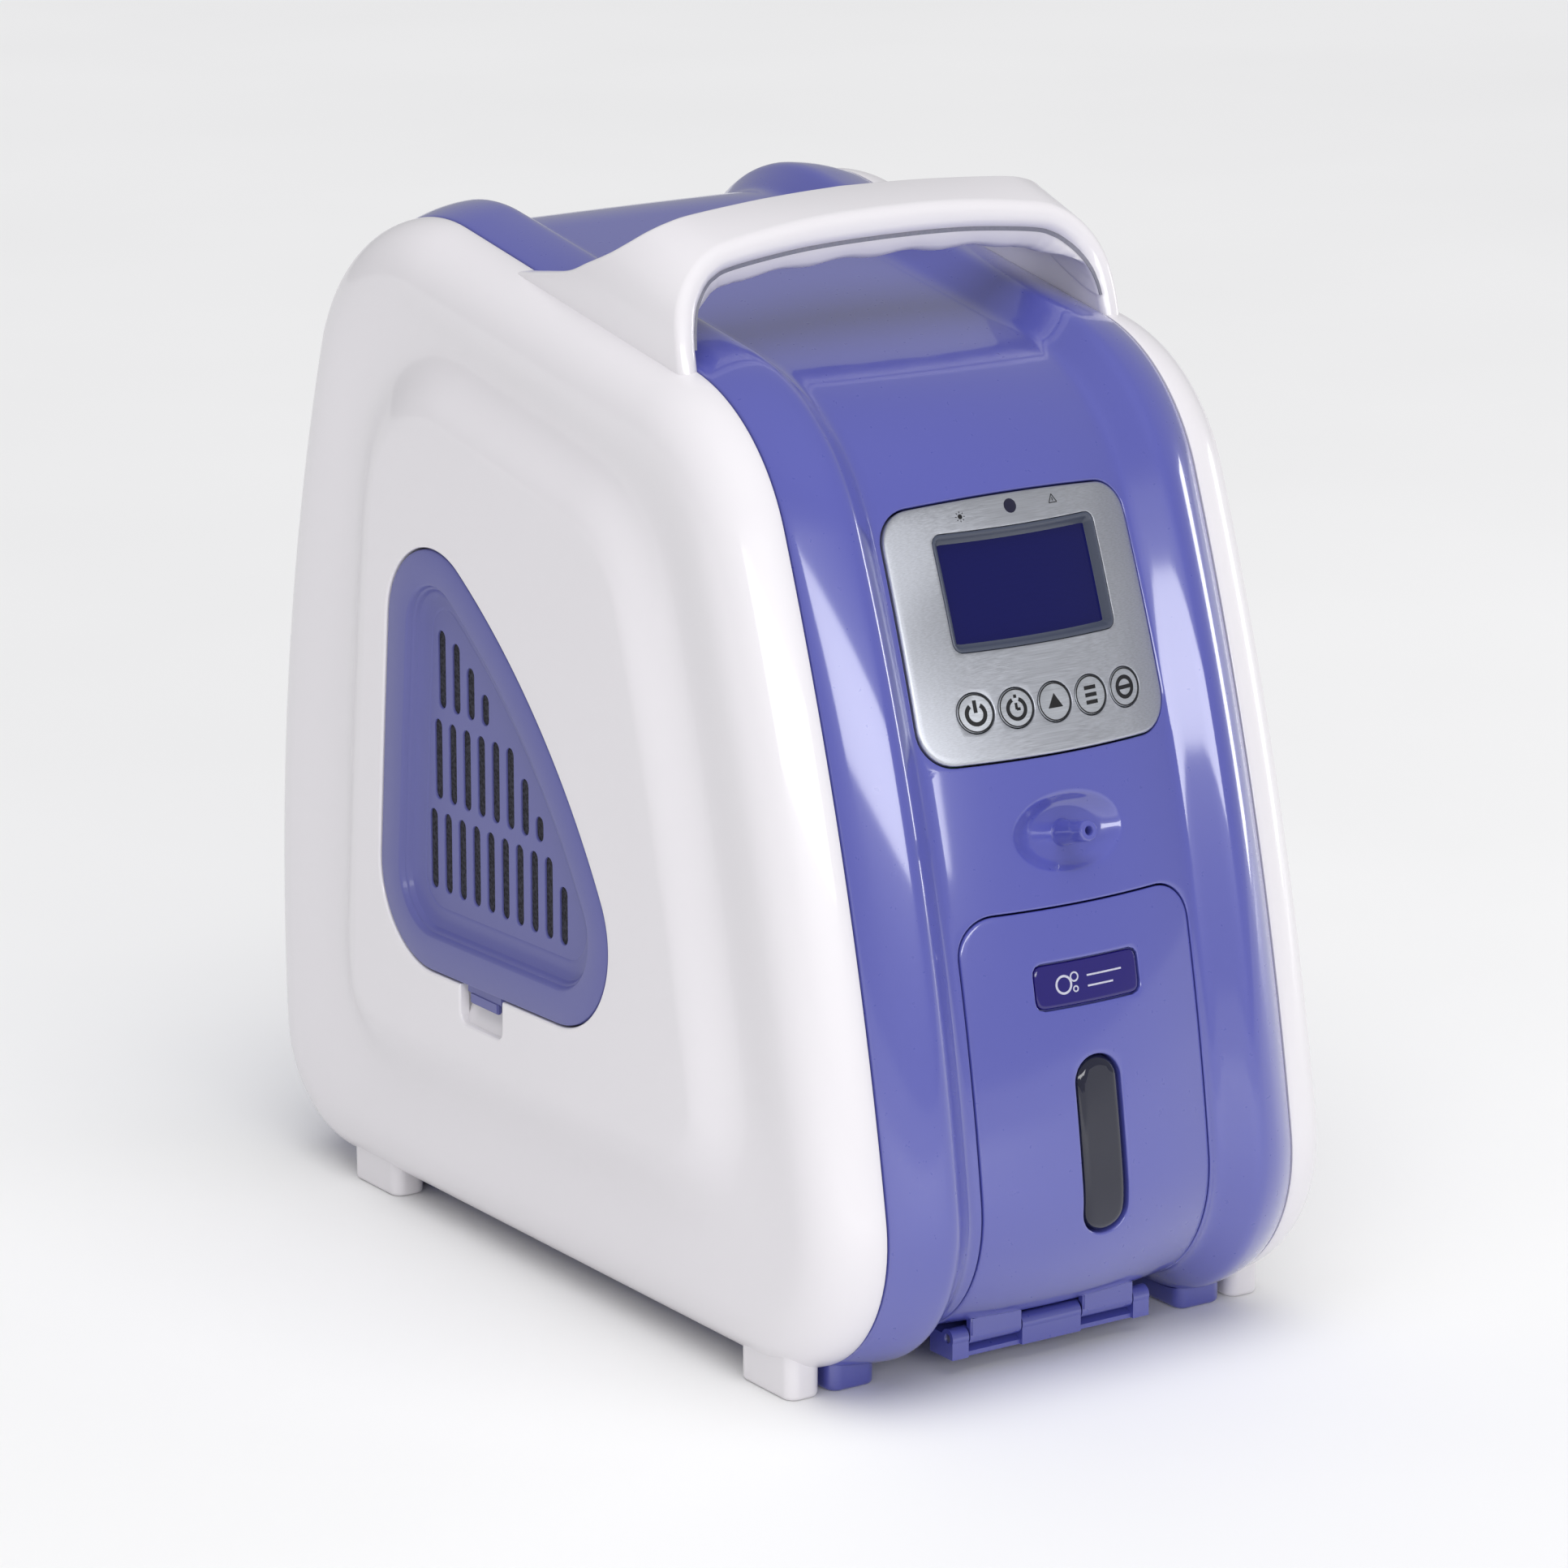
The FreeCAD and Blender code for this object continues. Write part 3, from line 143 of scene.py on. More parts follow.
# ---------------------------------------------------------------- outline geometry
def side_circles(outline):
    """Centre and radius of the large circle that each bowed side follows."""
    corners, bows, _ = outline
    circles = []
    for start, end, bow in zip(corners, corners[1:] + corners[:1], bows):
        chord = end - start
        outward = 1j * chord / abs(chord)
        radius = (abs(chord) ** 2 / 4 + bow ** 2) / (2 * bow)
        circles.append(((start + end) / 2 + outward * (bow - radius), radius))
    return circles


def round_centre(side_a, side_b, radius, corner):
    """Centre of the corner round that is tangent inside two side circles."""
    reach_a = side_a[1] - radius
    reach_b = side_b[1] - radius
    gap = side_b[0] - side_a[0]
    along = (reach_a ** 2 - reach_b ** 2 + abs(gap) ** 2) / (2 * abs(gap))
    aside = math.sqrt(reach_a ** 2 - along ** 2)
    options = [side_a[0] + gap / abs(gap) * complex(along, sign * aside) for sign in (1, -1)]
    return min(options, key=lambda point: abs(point - corner))


def outline_arcs(outline, inset=0.0):
    """Alternating rounds and sides as rows of (centre, radius, first angle, turn)."""
    corners, _, radii = outline
    sides = side_circles(outline)
    count = len(corners)
    rounds = [round_centre(sides[i - 1], sides[i], radii[i], corners[i]) for i in range(count)]
    arcs = []
    for i in range(count):
        enter = rounds[i] - sides[i - 1][0]
        leave = rounds[i] - sides[i][0]
        onward = rounds[(i + 1) % count] - sides[i][0]
        for centre, radius, first, last in ((rounds[i], radii[i], enter, leave),
                                            (sides[i][0], sides[i][1], leave, onward)):
            start = np.angle(first)
            turn = (np.angle(last) - start + math.pi) % (2 * math.pi) - math.pi
            arcs.append((centre, radius - inset, start, turn))
    return arcs


def outline_at(arcs, t):
    """Points of an outline: the whole part of t picks the arc, the rest runs along it."""
    t = np.asarray(t, float) % len(arcs)
    index = np.minimum(t.astype(int), len(arcs) - 1)
    table = np.array([(c, r, a, b) for c, r, a, b in arcs], complex)[index]
    angle = table[:, 2].real + table[:, 3].real * (t - index)
    return table[:, 0] + table[:, 1] * np.exp(1j * angle)


def arc_lengths(arcs):
    """Length of each arc."""
    return np.array([abs(radius * turn) for _, radius, _, turn in arcs])


def arc_steps(counts):
    """Outline parameters with a given number of points on each arc."""
    return np.concatenate([i + np.linspace(0, 1, count, endpoint=False) for i, count in enumerate(counts)])


def even_points(outline, inset=0.0, spacing=CONTOUR_STEP):
    """Points of an outline set in by a distance, at about even spacing."""
    arcs = outline_arcs(outline, inset)
    return outline_at(arcs, arc_steps([max(3, int(length / spacing)) for length in arc_lengths(arcs)]))


def blend_outline(first, second, weight):
    """Outline part of the way from one to another."""
    return tuple([a + (b - a) * weight for a, b in zip(one, two)] for one, two in zip(first, second))


def rounded_box(x_low, x_high, z_low, z_high, radius):
    """Outline of a rounded rectangle in x and z."""
    corners = [complex(x_low, z_low), complex(x_low, z_high), complex(x_high, z_high), complex(x_high, z_low)]
    return corners, [0.02] * 4, [radius] * 4


def inset_box(box, inset, radius):
    """Outline of a (low x, high x, low z, high z) box set in all round."""
    return rounded_box(box[0] + inset, box[1] - inset, box[2] + inset, box[3] - inset, radius)


# ---------------------------------------------------------------- core surface
def raw_profile(x):
    """Share of the seam outline, inset below the crest, and forward bulge at this x."""
    x = abs(x)
    rise = min(max((x - CREST_X) / (SEAM_X - CREST_X), 0.0), 1.0) ** 2
    depth = CHANNEL * min(max((CREST_X - x) / (CREST_X - VALLEY_X), 0.0), 1.0)
    forward = CROWN * max(1 - (x / VALLEY_X) ** 2, 0.0)
    return np.array([rise, depth, forward])


def soft_profile(x, reach=1.9, count=9):
    """Profile with its creases rounded by averaging over a short reach."""
    if abs(x) > SEAM_X - reach:
        return raw_profile(x)
    offsets = np.linspace(-reach, reach, count)
    return sum(raw_profile(x + offset) for offset in offsets) / count


arc_cache = {}


def core_arcs(x, depth=0.0):
    """Arcs of the core outline at this x, set in by a depth."""
    key = (round(abs(x), 4), round(depth, 4))
    if key not in arc_cache:
        rise, inset, forward = soft_profile(x)
        corners, bows, radii = blend_outline(CREST, SEAM, rise)
        corners = [corners[0] - forward, corners[1] - forward] + corners[2:]
        arc_cache[key] = outline_arcs((corners, bows, radii), inset + depth)
    return arc_cache[key]


BAND = core_arcs(0.0)
LENGTHS = arc_lengths(BAND)
RUNS = np.concatenate([[0.0], np.cumsum(LENGTHS)])
TOTAL = RUNS[-1]


def core_points(x, v, depth=0.0):
    """Points of the core surface: x across, v millimetres along the middle outline."""
    x, v, depth = np.broadcast_arrays(np.asarray(x, float), np.asarray(v, float), np.asarray(depth, float))
    t = np.interp(v % TOTAL, RUNS, np.arange(len(RUNS)))
    result = np.zeros((x.size, 3))
    keys = np.round(np.stack([x.ravel(), depth.ravel()], 1), 4)
    unique, inverse = np.unique(keys, axis=0, return_inverse=True)
    inverse = inverse.ravel()
    for index, (at_x, at_depth) in enumerate(unique):
        chosen = inverse == index
        point = outline_at(core_arcs(at_x, at_depth), t.ravel()[chosen])
        result[chosen] = np.stack([np.full(point.shape, at_x), point.real, point.imag], 1)
    return result


FRONT_V = np.linspace(0, RUNS[3], 600)
FRONT_Z = core_points(0.0, FRONT_V)[:, 2]
REAR_V = np.linspace(RUNS[4], RUNS[7], 600)
REAR_Z_TABLE = core_points(0.0, REAR_V)[:, 2]


def front_v(z):
    """Distance along the outline at which the front reaches a height."""
    return np.interp(z, FRONT_Z, FRONT_V)


def rear_v(z):
    """Distance along the outline at which the back reaches a height."""
    return np.interp(z, REAR_Z_TABLE[::-1], REAR_V[::-1])


def front_frame(x, z):
    """Point and outward normal of the front surface."""
    v = front_v(z)
    across = core_points(x + 0.5, v)[0] - core_points(x - 0.5, v)[0]
    upward = core_points(x, v + 0.5)[0] - core_points(x, v - 0.5)[0]
    normal = np.cross(across, upward)
    return Vector(core_points(x, v)[0]), Vector(normal / np.linalg.norm(normal))


# ---------------------------------------------------------------- mesh helpers
class Sheet:
    """Outer points, matching inner points and faces of a moulded wall."""

    def __init__(self):
        self.outer = []
        self.inner = []
        self.faces = []

    def add(self, outer, inner):
        first = len(self.outer)
        self.outer.extend(outer)
        self.inner.extend(inner)
        return list(range(first, first + len(outer)))

    def bridge(self, ring_a, ring_b, closed=True):
        count = len(ring_a)
        for i in range(count if closed else count - 1):
            j = (i + 1) % count
            self.faces.append((ring_a[i], ring_a[j], ring_b[j], ring_b[i]))

    def stack(self, layers, previous=None, closed=True):
        """Join rings of (outer, inner) points one after another; returns the first."""
        first = previous
        for layer in layers:
            ring = self.add(*layer)
            if previous is not None:
                self.bridge(previous, ring, closed)
            previous = ring
            first = first or ring
        return first

    def fan(self, ring, centre):
        for i in range(len(ring)):
            self.faces.append((ring[(i + 1) % len(ring)], ring[i], centre))

    def build(self, name):
        """Object of the outer and inner skins joined round every open edge."""
        count = len(self.outer)
        points = np.vstack([np.array(self.outer), np.array(self.inner)])
        uses = {edge for face in self.faces for edge in zip(face, face[1:] + face[:1])}
        walls = [(b, a, a + count, b + count) for a, b in uses if (b, a) not in uses]
        back = [tuple(i + count for i in reversed(face)) for face in self.faces]
        return make_object(name, points, self.faces + back + sorted(walls))


def add_object(name, data):
    """Object in the scene for a mesh, curve, lamp or camera."""
    thing = bpy.data.objects.new(name, data)
    bpy.context.scene.collection.objects.link(thing)
    return thing


def make_object(name, points, faces, smooth=SMOOTH_ANGLE):
    """Mesh object from millimetre points, shaded smooth below an angle."""
    mesh = bpy.data.meshes.new(name)
    mesh.from_pydata([tuple(p) for p in np.asarray(points) * MM], [], faces)
    mesh.validate()
    work = bmesh.new()
    work.from_mesh(mesh)
    bmesh.ops.remove_doubles(work, verts=work.verts, dist=WELD)
    bmesh.ops.recalc_face_normals(work, faces=work.faces)
    work.to_mesh(mesh)
    work.free()
    return shade(add_object(name, mesh), smooth)


def shade(piece, angle=SMOOTH_ANGLE):
    """Smooth shading with sharp edges kept above an angle."""
    piece.data.shade_smooth()
    piece.data.set_sharp_from_angle(angle=math.radians(angle))
    return piece


def finish_piece(piece, body, slot_name, *replaced, material=None):
    """Material, body, slot and the design nodes that a piece stands for."""
    piece.data.materials.clear()
    piece.data.materials.append(material or MATERIALS[slot_name])
    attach(piece, body)
    if replaced:
        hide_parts(*replaced)
    return piece


def join_pieces(pieces, name):
    """One object from several."""
    bpy.ops.object.select_all(action="DESELECT")
    for piece in pieces:
        piece.select_set(True)
    bpy.context.view_layer.objects.active = pieces[0]
    bpy.ops.object.join()
    pieces[0].name = name
    pieces[0].data.name = name
    return pieces[0]


def polar_radius(points, centre, scale, angles):
    """Reach of a star-shaped loop from a centre at each angle, in scaled coordinates."""
    offset = (points.real - centre.real) / scale[0] + 1j * (points.imag - centre.imag) / scale[1]
    around = np.angle(offset)
    order = np.argsort(around)
    around, reach = around[order], np.abs(offset)[order]
    around = np.concatenate([around - 2 * math.pi, around, around + 2 * math.pi])
    reach = np.concatenate([reach] * 3)
    return np.interp(angles, around, reach)


def polar_loop(points, centre, scale, angles):
    """Loop of a star-shaped outline at given angles, as complex numbers."""
    reach = polar_radius(points, centre, scale, angles)
    return complex(centre) + reach * (np.cos(angles) * scale[0] + 1j * np.sin(angles) * scale[1])


# An opening or outer edge in a grid of (x, v) cells, met by rings of matching points:
# contour: function of a growth in mm giving dense complex (x, v) points
# margin: (x_low, x_high, v_low, v_high) of the cells it takes out
# rings: steps from the grid to the contour
# rim: (growth, depth) pairs from the surface inwards
Opening = namedtuple("Opening", "contour margin rings rim")


def cell_loop(i0, i1, j0, j1):
    """Grid places round a block of cells."""
    loop = [(i, j0) for i in range(i0, i1)] + [(i1, j) for j in range(j0, j1)]
    return loop + [(i, j1) for i in range(i1, i0, -1)] + [(i0, j) for j in range(j1, j0, -1)]


def surface_grid(sheet, place, xs, vs, openings=(), edge=None):
    """Grid of surface cells with rounded openings, and rings out to its edge if it has one."""
    grid_x, grid_v = np.meshgrid(xs, vs, indexing="ij")
    index = np.array(sheet.add(*place(grid_x.ravel(), grid_v.ravel(), 0.0))).reshape(grid_x.shape)
    places = grid_x + 1j * grid_v
    blocked = np.zeros((len(xs) - 1, len(vs) - 1), bool)
    for opening in openings:
        i0, i1 = (np.argmin(abs(xs - x)) for x in opening.margin[:2])
        j0, j1 = (np.argmin(abs(vs - v)) for v in opening.margin[2:])
        blocked[i0:i1, j0:j1] = True
        ring_down(sheet, place, index, places, cell_loop(i0, i1, j0, j1), opening)
    for i, j in np.argwhere(~blocked):
        sheet.faces.append((index[i, j], index[i + 1, j], index[i + 1, j + 1], index[i, j + 1]))
    if edge:
        ring_down(sheet, place, index, places, cell_loop(0, len(xs) - 1, 0, len(vs) - 1)[::-1], edge)
    return index


def ring_down(sheet, place, index, places, cells, opening):
    """Rings from a loop of grid points to a contour and down its rim."""
    border = np.array([places[cell] for cell in cells])
    centre = complex((border.real.min() + border.real.max()) / 2, (border.imag.min() + border.imag.max()) / 2)
    scale = ((border.real.max() - border.real.min()) / 2, (border.imag.max() - border.imag.min()) / 2)
    angles = np.angle((border.real - centre.real) / scale[0] + 1j * (border.imag - centre.imag) / scale[1])
    down = [(polar_loop(opening.contour(growth), centre, scale, angles), depth)
            for growth, depth in opening.rim]
    first, surface = down[0]
    shares = [step / opening.rings for step in range(1, opening.rings)]
    across = [(border * (1 - share) + first * share, surface) for share in shares]
    sheet.stack([place(loop.real, loop.imag, depth) for loop, depth in across + down],
                [index[cell] for cell in cells])


def core_place(wall):
    """Placing of (x, v, depth) on the core surface with an inner skin."""
    def place(x, v, depth):
        x = np.asarray(x, float)
        v = np.asarray(v, float)
        depth = np.broadcast_to(depth, x.shape)
        return core_points(x, v, depth), core_points(x, v, np.maximum(depth, 0) + wall)
    return place


def front_contour(outline):
    """Contour in (x, v) of an outline in x and z on the front, for any growth."""
    def contour(growth):
        points = even_points(outline, -growth)
        return points.real + 1j * front_v(points.imag)
    return contour


def rolled_rim(radius, sink, steps=5):
    """Growth and depth pairs of an edge that rolls over and drops into a gap."""
    turns = [math.pi / 2 * step / steps for step in range(steps + 1)]
    pairs = [(radius * (1 - math.sin(turn)), radius * (1 - math.cos(turn))) for turn in turns]
    return pairs + [(0.0, radius + sink)]


def outer_edge(contour, radius, sink):
    """Rolled outer edge of a panel."""
    return Opening(contour, None, 4, [(-growth, drop) for growth, drop in rolled_rim(radius, sink)])


def spaced(stops, spacing):
    """Values through every stop at about the given spacing."""
    parts = []
    for low, high in zip(stops, stops[1:]):
        count = max(1, int(round((high - low) / spacing)))
        parts.append(np.linspace(low, high, count, endpoint=False))
    return np.concatenate(parts + [[stops[-1]]])


def panel_sheet(outline, depth, wall, round_edge, spacing=2.0, openings=(), inset_grid=3.0, rim_drop=1.2):
    """Rounded panel on the front surface with a rolled edge."""
    sheet = Sheet()
    place = core_place(wall)

    def sunk(x, v, extra):
        return place(x, v, np.asarray(extra) + depth)

    points = even_points(outline, 0.0, 1.0)
    radius = max(outline[2]) * 0.35 + inset_grid
    x_ends = {points.real.min() + radius, points.real.max() - radius}
    v_ends = {front_v(points.imag.min()) + radius, front_v(points.imag.max()) - radius}
    xs = spaced(sorted(x_ends | {edge for o in openings for edge in o.margin[:2]}), spacing)
    vs = spaced(sorted(v_ends | {edge for o in openings for edge in o.margin[2:]}), spacing)
    surface_grid(sheet, sunk, xs, vs, openings, outer_edge(front_contour(outline), round_edge, rim_drop))
    return sheet


def loft(name, loops, smooth=SMOOTH_ANGLE):
    """Closed tube through matching loops."""
    count = len(loops[0])
    points = [point for loop in loops for point in loop]
    faces = []
    for row in range(len(loops) - 1):
        for k in range(count):
            a, b = row * count + k, row * count + (k + 1) % count
            faces.append((a, b, b + count, a + count))
    ends = [tuple(range(count)), tuple(range(len(points) - count, len(points)))]
    return make_object(name, points, faces + ends, smooth)


def tube_mesh(name, profile, start, direction, segments=48):
    """Solid of revolution from (distance, radius) pairs along a direction."""
    axis = Vector(direction).normalized()
    side = axis.orthogonal().normalized()
    other = axis.cross(side)
    turns = [2 * math.pi * k / segments for k in range(segments)]
    rims = [side * math.cos(turn) + other * math.sin(turn) for turn in turns]
    return loft(name, [[tuple(Vector(start) + axis * distance + rim * radius) for rim in rims]
                       for distance, radius in profile])


def bevelled_box(name, low, high, bevel):
    """Box between two corners with rounded edges."""
    mesh = bpy.data.meshes.new(name)
    work = bmesh.new()
    bmesh.ops.create_cube(work, size=1.0)
    bmesh.ops.scale(work, verts=work.verts, vec=[(b - a) * MM for a, b in zip(low, high)])
    bmesh.ops.bevel(work, geom=work.edges[:], offset=bevel * MM, segments=3, affect="EDGES")
    bmesh.ops.translate(work, verts=work.verts, vec=[(a + b) / 2 * MM for a, b in zip(low, high)])
    work.to_mesh(mesh)
    work.free()
    return shade(add_object(name, mesh))


# ---------------------------------------------------------------- materials
def make_material(name, tint, polish, relief=None, sockets=None):
    """Material with textured tint (texture, dark, light), polish (texture, low, high) and relief.

    A texture is a function followed by its settings; relief is (texture, strength, distance).
    """
    material = bpy.data.materials.new(name)
    material.use_nodes = True
    tree = material.node_tree
    shader = tree.nodes["Principled BSDF"]
    coords = tree.nodes.new("ShaderNodeTexCoord").outputs["Object"]
    made = {}

    def value(texture):
        if texture not in made:
            made[texture] = texture[0](tree, coords, *texture[1:])
        return made[texture]

    tree.links.new(tinted(tree, value(tint[0]), *tint[1:]), shader.inputs["Base Color"])
    if polish:
        tree.links.new(ranged(tree, value(polish[0]), *polish[1:]), shader.inputs["Roughness"])
    if relief:
        bumped(tree, shader, value(relief[0]), *relief[1:])
    for socket, number in (sockets or {}).items():
        shader.inputs[socket].default_value = number
    return material


def noise(tree, coords, scale, detail=3.0, stretch=(1, 1, 1)):
    """Noise texture in metres, optionally stretched."""
    mapping = tree.nodes.new("ShaderNodeMapping")
    mapping.inputs["Scale"].default_value = stretch
    texture = tree.nodes.new("ShaderNodeTexNoise")
    texture.inputs["Scale"].default_value = scale
    texture.inputs["Detail"].default_value = detail
    tree.links.new(coords, mapping.inputs["Vector"])
    tree.links.new(mapping.outputs["Vector"], texture.inputs["Vector"])
    return texture.outputs["Fac"]


def cells(tree, coords, scale, randomness=1.0):
    """Distance to the centre of each cell."""
    texture = tree.nodes.new("ShaderNodeTexVoronoi")
    texture.inputs["Scale"].default_value = scale
    texture.inputs["Randomness"].default_value = randomness
    tree.links.new(coords, texture.inputs["Vector"])
    return texture.outputs["Distance"]


def ranged(tree, value, low, high):
    """Noise value mapped to a range."""
    node = tree.nodes.new("ShaderNodeMapRange")
    node.interpolation_type = "SMOOTHSTEP"
    node.inputs["From Min"].default_value = 0.15
    node.inputs["From Max"].default_value = 0.85
    node.inputs["To Min"].default_value = low
    node.inputs["To Max"].default_value = high
    tree.links.new(value, node.inputs["Value"])
    return node.outputs["Result"]


def tinted(tree, value, dark, light):
    """Colour between two tints by a value."""
    ramp = tree.nodes.new("ShaderNodeValToRGB")
    ramp.color_ramp.interpolation = "EASE"
    ramp.color_ramp.elements[0].position = 0.15
    ramp.color_ramp.elements[1].position = 0.85
    ramp.color_ramp.elements[0].color = (*dark, 1)
    ramp.color_ramp.elements[1].color = (*light, 1)
    tree.links.new(value, ramp.inputs["Fac"])
    return ramp.outputs["Color"]


def bumped(tree, shader, value, strength, distance):
    """Surface relief from a value."""
    bump = tree.nodes.new("ShaderNodeBump")
    bump.inputs["Strength"].default_value = strength
    bump.inputs["Distance"].default_value = distance
    tree.links.new(value, bump.inputs["Height"])
    tree.links.new(bump.outputs["Normal"], shader.inputs["Normal"])


def srgb(red, green, blue):
    """Linear colour from 0 to 255 screen values."""
    return tuple(((v / 255 + 0.055) / 1.055) ** 2.4 if v > 10 else v / 255 / 12.92
                 for v in (red, green, blue))


def tone(colour, factor):
    """Colour made darker or lighter."""
    return tuple(min(c * factor, 1.0) for c in colour)


def moulded_plastic(name, colour, roughness, coat, spread=0.02, peel=0.01):
    """Injection moulded plastic: faint flow tint, soft orange peel, uneven polish."""
    return make_material(
        name, ((noise, 9.0, 1.0), tone(colour, 1 - spread), tone(colour, 1 + spread)),
        ((noise, 420.0, 2.0), roughness - 0.008, roughness + 0.012), ((noise, 300.0, 0.0), peel, 0.0001),
        {"Coat Weight": coat, "Coat IOR": 1.75, "Coat Roughness": 0.07, "Specular IOR Level": 0.5})


def brushed_metal(name, colour):
    """Plate brushed along the width of the machine."""
    streaks = (noise, 1.0, 6.0, (25.0, 4200.0, 4200.0))
    return make_material(name, (streaks, tone(colour, 0.82), tone(colour, 1.1)), (streaks, 0.30, 0.46),
                         (streaks, 0.12, 0.00008), {"Metallic": 0.85, "Anisotropic": 0.5})


def plain_metal(name, colour, roughness, grain=250.0):
    """Cast or drawn metal with grain in its tint and polish."""
    grains = (noise, grain, 5.0)
    return make_material(
        name, (grains, tone(colour, 0.88), colour), (grains, roughness - 0.06, roughness + 0.08),
        (grains, 0.15, 0.0002), {"Metallic": 1.0})


def matte_material(name, colour, roughness, grain=900.0):
    """Textured plastic or rubber."""
    grains = (noise, grain, 4.0)
    return make_material(name, (grains, tone(colour, 0.8), colour),
                         (grains, roughness - 0.05, roughness + 0.05), (grains, 0.2, 0.0002))


def display_material():
    """Unlit navy display behind polished glass with a faint dot pattern."""
    navy = srgb(15, 17, 76)
    return make_material("display_glass", ((cells, 1600.0, 0.0), tone(navy, 1.06), navy),
                         ((noise, 40.0), 0.10, 0.16), None, {"Specular IOR Level": 0.3})


def clear_material(name, colour, roughness, weight=0.92, ior=1.45):
    """Clear or smoked moulding with faint surface waviness."""
    ripples = (noise, 120.0, 2.0)
    return make_material(
        name, (ripples, tone(colour, 0.95), colour), (ripples, roughness, roughness + 0.03),
        (ripples, 0.03, 0.0002), {"Transmission Weight": weight, "IOR": ior, "Coat Weight": 0.6})


def foam_material():
    """Open cell foam."""
    return make_material("filter_foam", ((cells, 900.0), (0.008, 0.008, 0.012), (0.035, 0.035, 0.05)),
                         ((noise, 300.0), 0.85, 0.95), ((cells, 900.0), 0.8, 0.0006))


VIOLET = srgb(79, 83, 166)
WHITE = srgb(229, 226, 230)
SILVER = srgb(192, 195, 203)

MATERIALS = {
    "coloured_plastic": moulded_plastic("coloured_plastic", VIOLET, 0.28, 0.9, 0.02),
    "white_plastic": moulded_plastic("white_plastic", WHITE, 0.34, 0.5, 0.01),
    "brushed_panel": brushed_metal("brushed_panel", SILVER),
    "display_frame": moulded_plastic("display_frame", srgb(66, 72, 88), 0.34, 0.1),
    "display_glass": display_material(),
    "key_silver": brushed_metal("key_silver", srgb(204, 208, 215)),
    "dark_lens": moulded_plastic("dark_lens", srgb(20, 19, 46), 0.08, 0.2),
    "badge_blue": moulded_plastic("badge_blue", srgb(28, 17, 104), 0.10, 0.3, 0.05, 0.01),
    "smoked_glass": clear_material("smoked_glass", srgb(26, 29, 52), 0.04, 0.3),
    "clear_bottle": clear_material("clear_bottle", srgb(225, 232, 240), 0.02),
    "lid_white": matte_material("lid_white", srgb(205, 206, 214), 0.45),
    "dark_plastic": matte_material("dark_plastic", (0.02, 0.02, 0.022), 0.42),
    "filter_foam": foam_material(),
    "circuit_board": matte_material("circuit_board", (0.02, 0.11, 0.05), 0.4, 200.0),
    "steel": plain_metal("steel", (0.58, 0.58, 0.6), 0.32, 400.0),
    "cast_aluminium": plain_metal("cast_aluminium", (0.62, 0.63, 0.64), 0.5),
    "motor_iron": plain_metal("motor_iron", (0.25, 0.25, 0.27), 0.55),
    "copper": plain_metal("copper", (0.72, 0.36, 0.2), 0.3),
    "black_rubber": matte_material("black_rubber", (0.018, 0.018, 0.018), 0.7),
    "hose_rubber": matte_material("hose_rubber", (0.6, 0.62, 0.64), 0.5),
}
SATIN = moulded_plastic("satin_cover", srgb(92, 94, 156), 0.42, 0.15, 0.02, 0.1)
# Grey strip round the finger pad: painted shade standing in for the shadow in the gap between pad and arch.
GRIP_GAP_SHADE = matte_material("pad_gap_shade", srgb(132, 132, 146), 0.5)
PRINT = matte_material("icon_print", srgb(10, 10, 16), 0.5)
LIGHT_PRINT = matte_material("light_print", srgb(196, 196, 214), 0.35)
WATER = clear_material("humidifier_water", srgb(150, 160, 176), 0.02, 0.8, 1.33)


# ---------------------------------------------------------------- core skin
def margin(half, low, high, below, above):
    """Cells that an opening takes out: half width, ends along the outline and the room past them."""
    return -half, half, float(low) - below, float(high) + above


def door_contour(growth):
    """Door outline in (x, v): rounded at the top, nearly square where it wraps under."""
    corners, bows, _ = rounded_box(-DOOR_HALF, DOOR_HALF, front_v(DOOR_BOTTOM), front_v(DOOR_TOP), 0.0)
    radii = [DOOR_FOOT_ROUND, DOOR_ROUND, DOOR_ROUND, DOOR_FOOT_ROUND]
    return even_points((corners, bows, radii), -growth)


def rear_contour(growth):
    """Rear panel outline in (x, v)."""
    points = even_points(rounded_box(-REAR_HALF, REAR_HALF, *REAR_Z, REAR_ROUND), -growth)
    return points.real + 1j * rear_v(points.imag)


def dish_contour(growth):
    """Ellipse round the outlet, in (x, v)."""
    turn = np.linspace(0, 2 * math.pi, 160, endpoint=False)
    inward = (DISH[1] - BORE_HOLE) / (DISH[0] - BORE_HOLE)
    wide = DISH[0] + growth
    high = DISH[1] + growth * (inward if growth < 0 else 1.0)
    return wide * np.cos(turn) + 1j * (front_v(NOZZLE_Z) + high * np.sin(turn))


def dish_rim():
    """Growth and depth pairs down the dish: soft lip, sloping side, flat floor."""
    pairs = [(1.6, 0.0), (0.8, 0.06), (0.2, 0.22), (-0.3, 0.5)]
    for step in range(1, 11):
        share = step / 10
        pairs.append((-0.3 - 7.2 * share, 0.5 + (DISH[2] - 0.5) * math.sin(share * math.pi / 2)))
    return pairs + [(-12.0, DISH[2]), (BORE_HOLE - DISH[0], DISH[2]), (BORE_HOLE - DISH[0], DISH[2] + 1.0)]


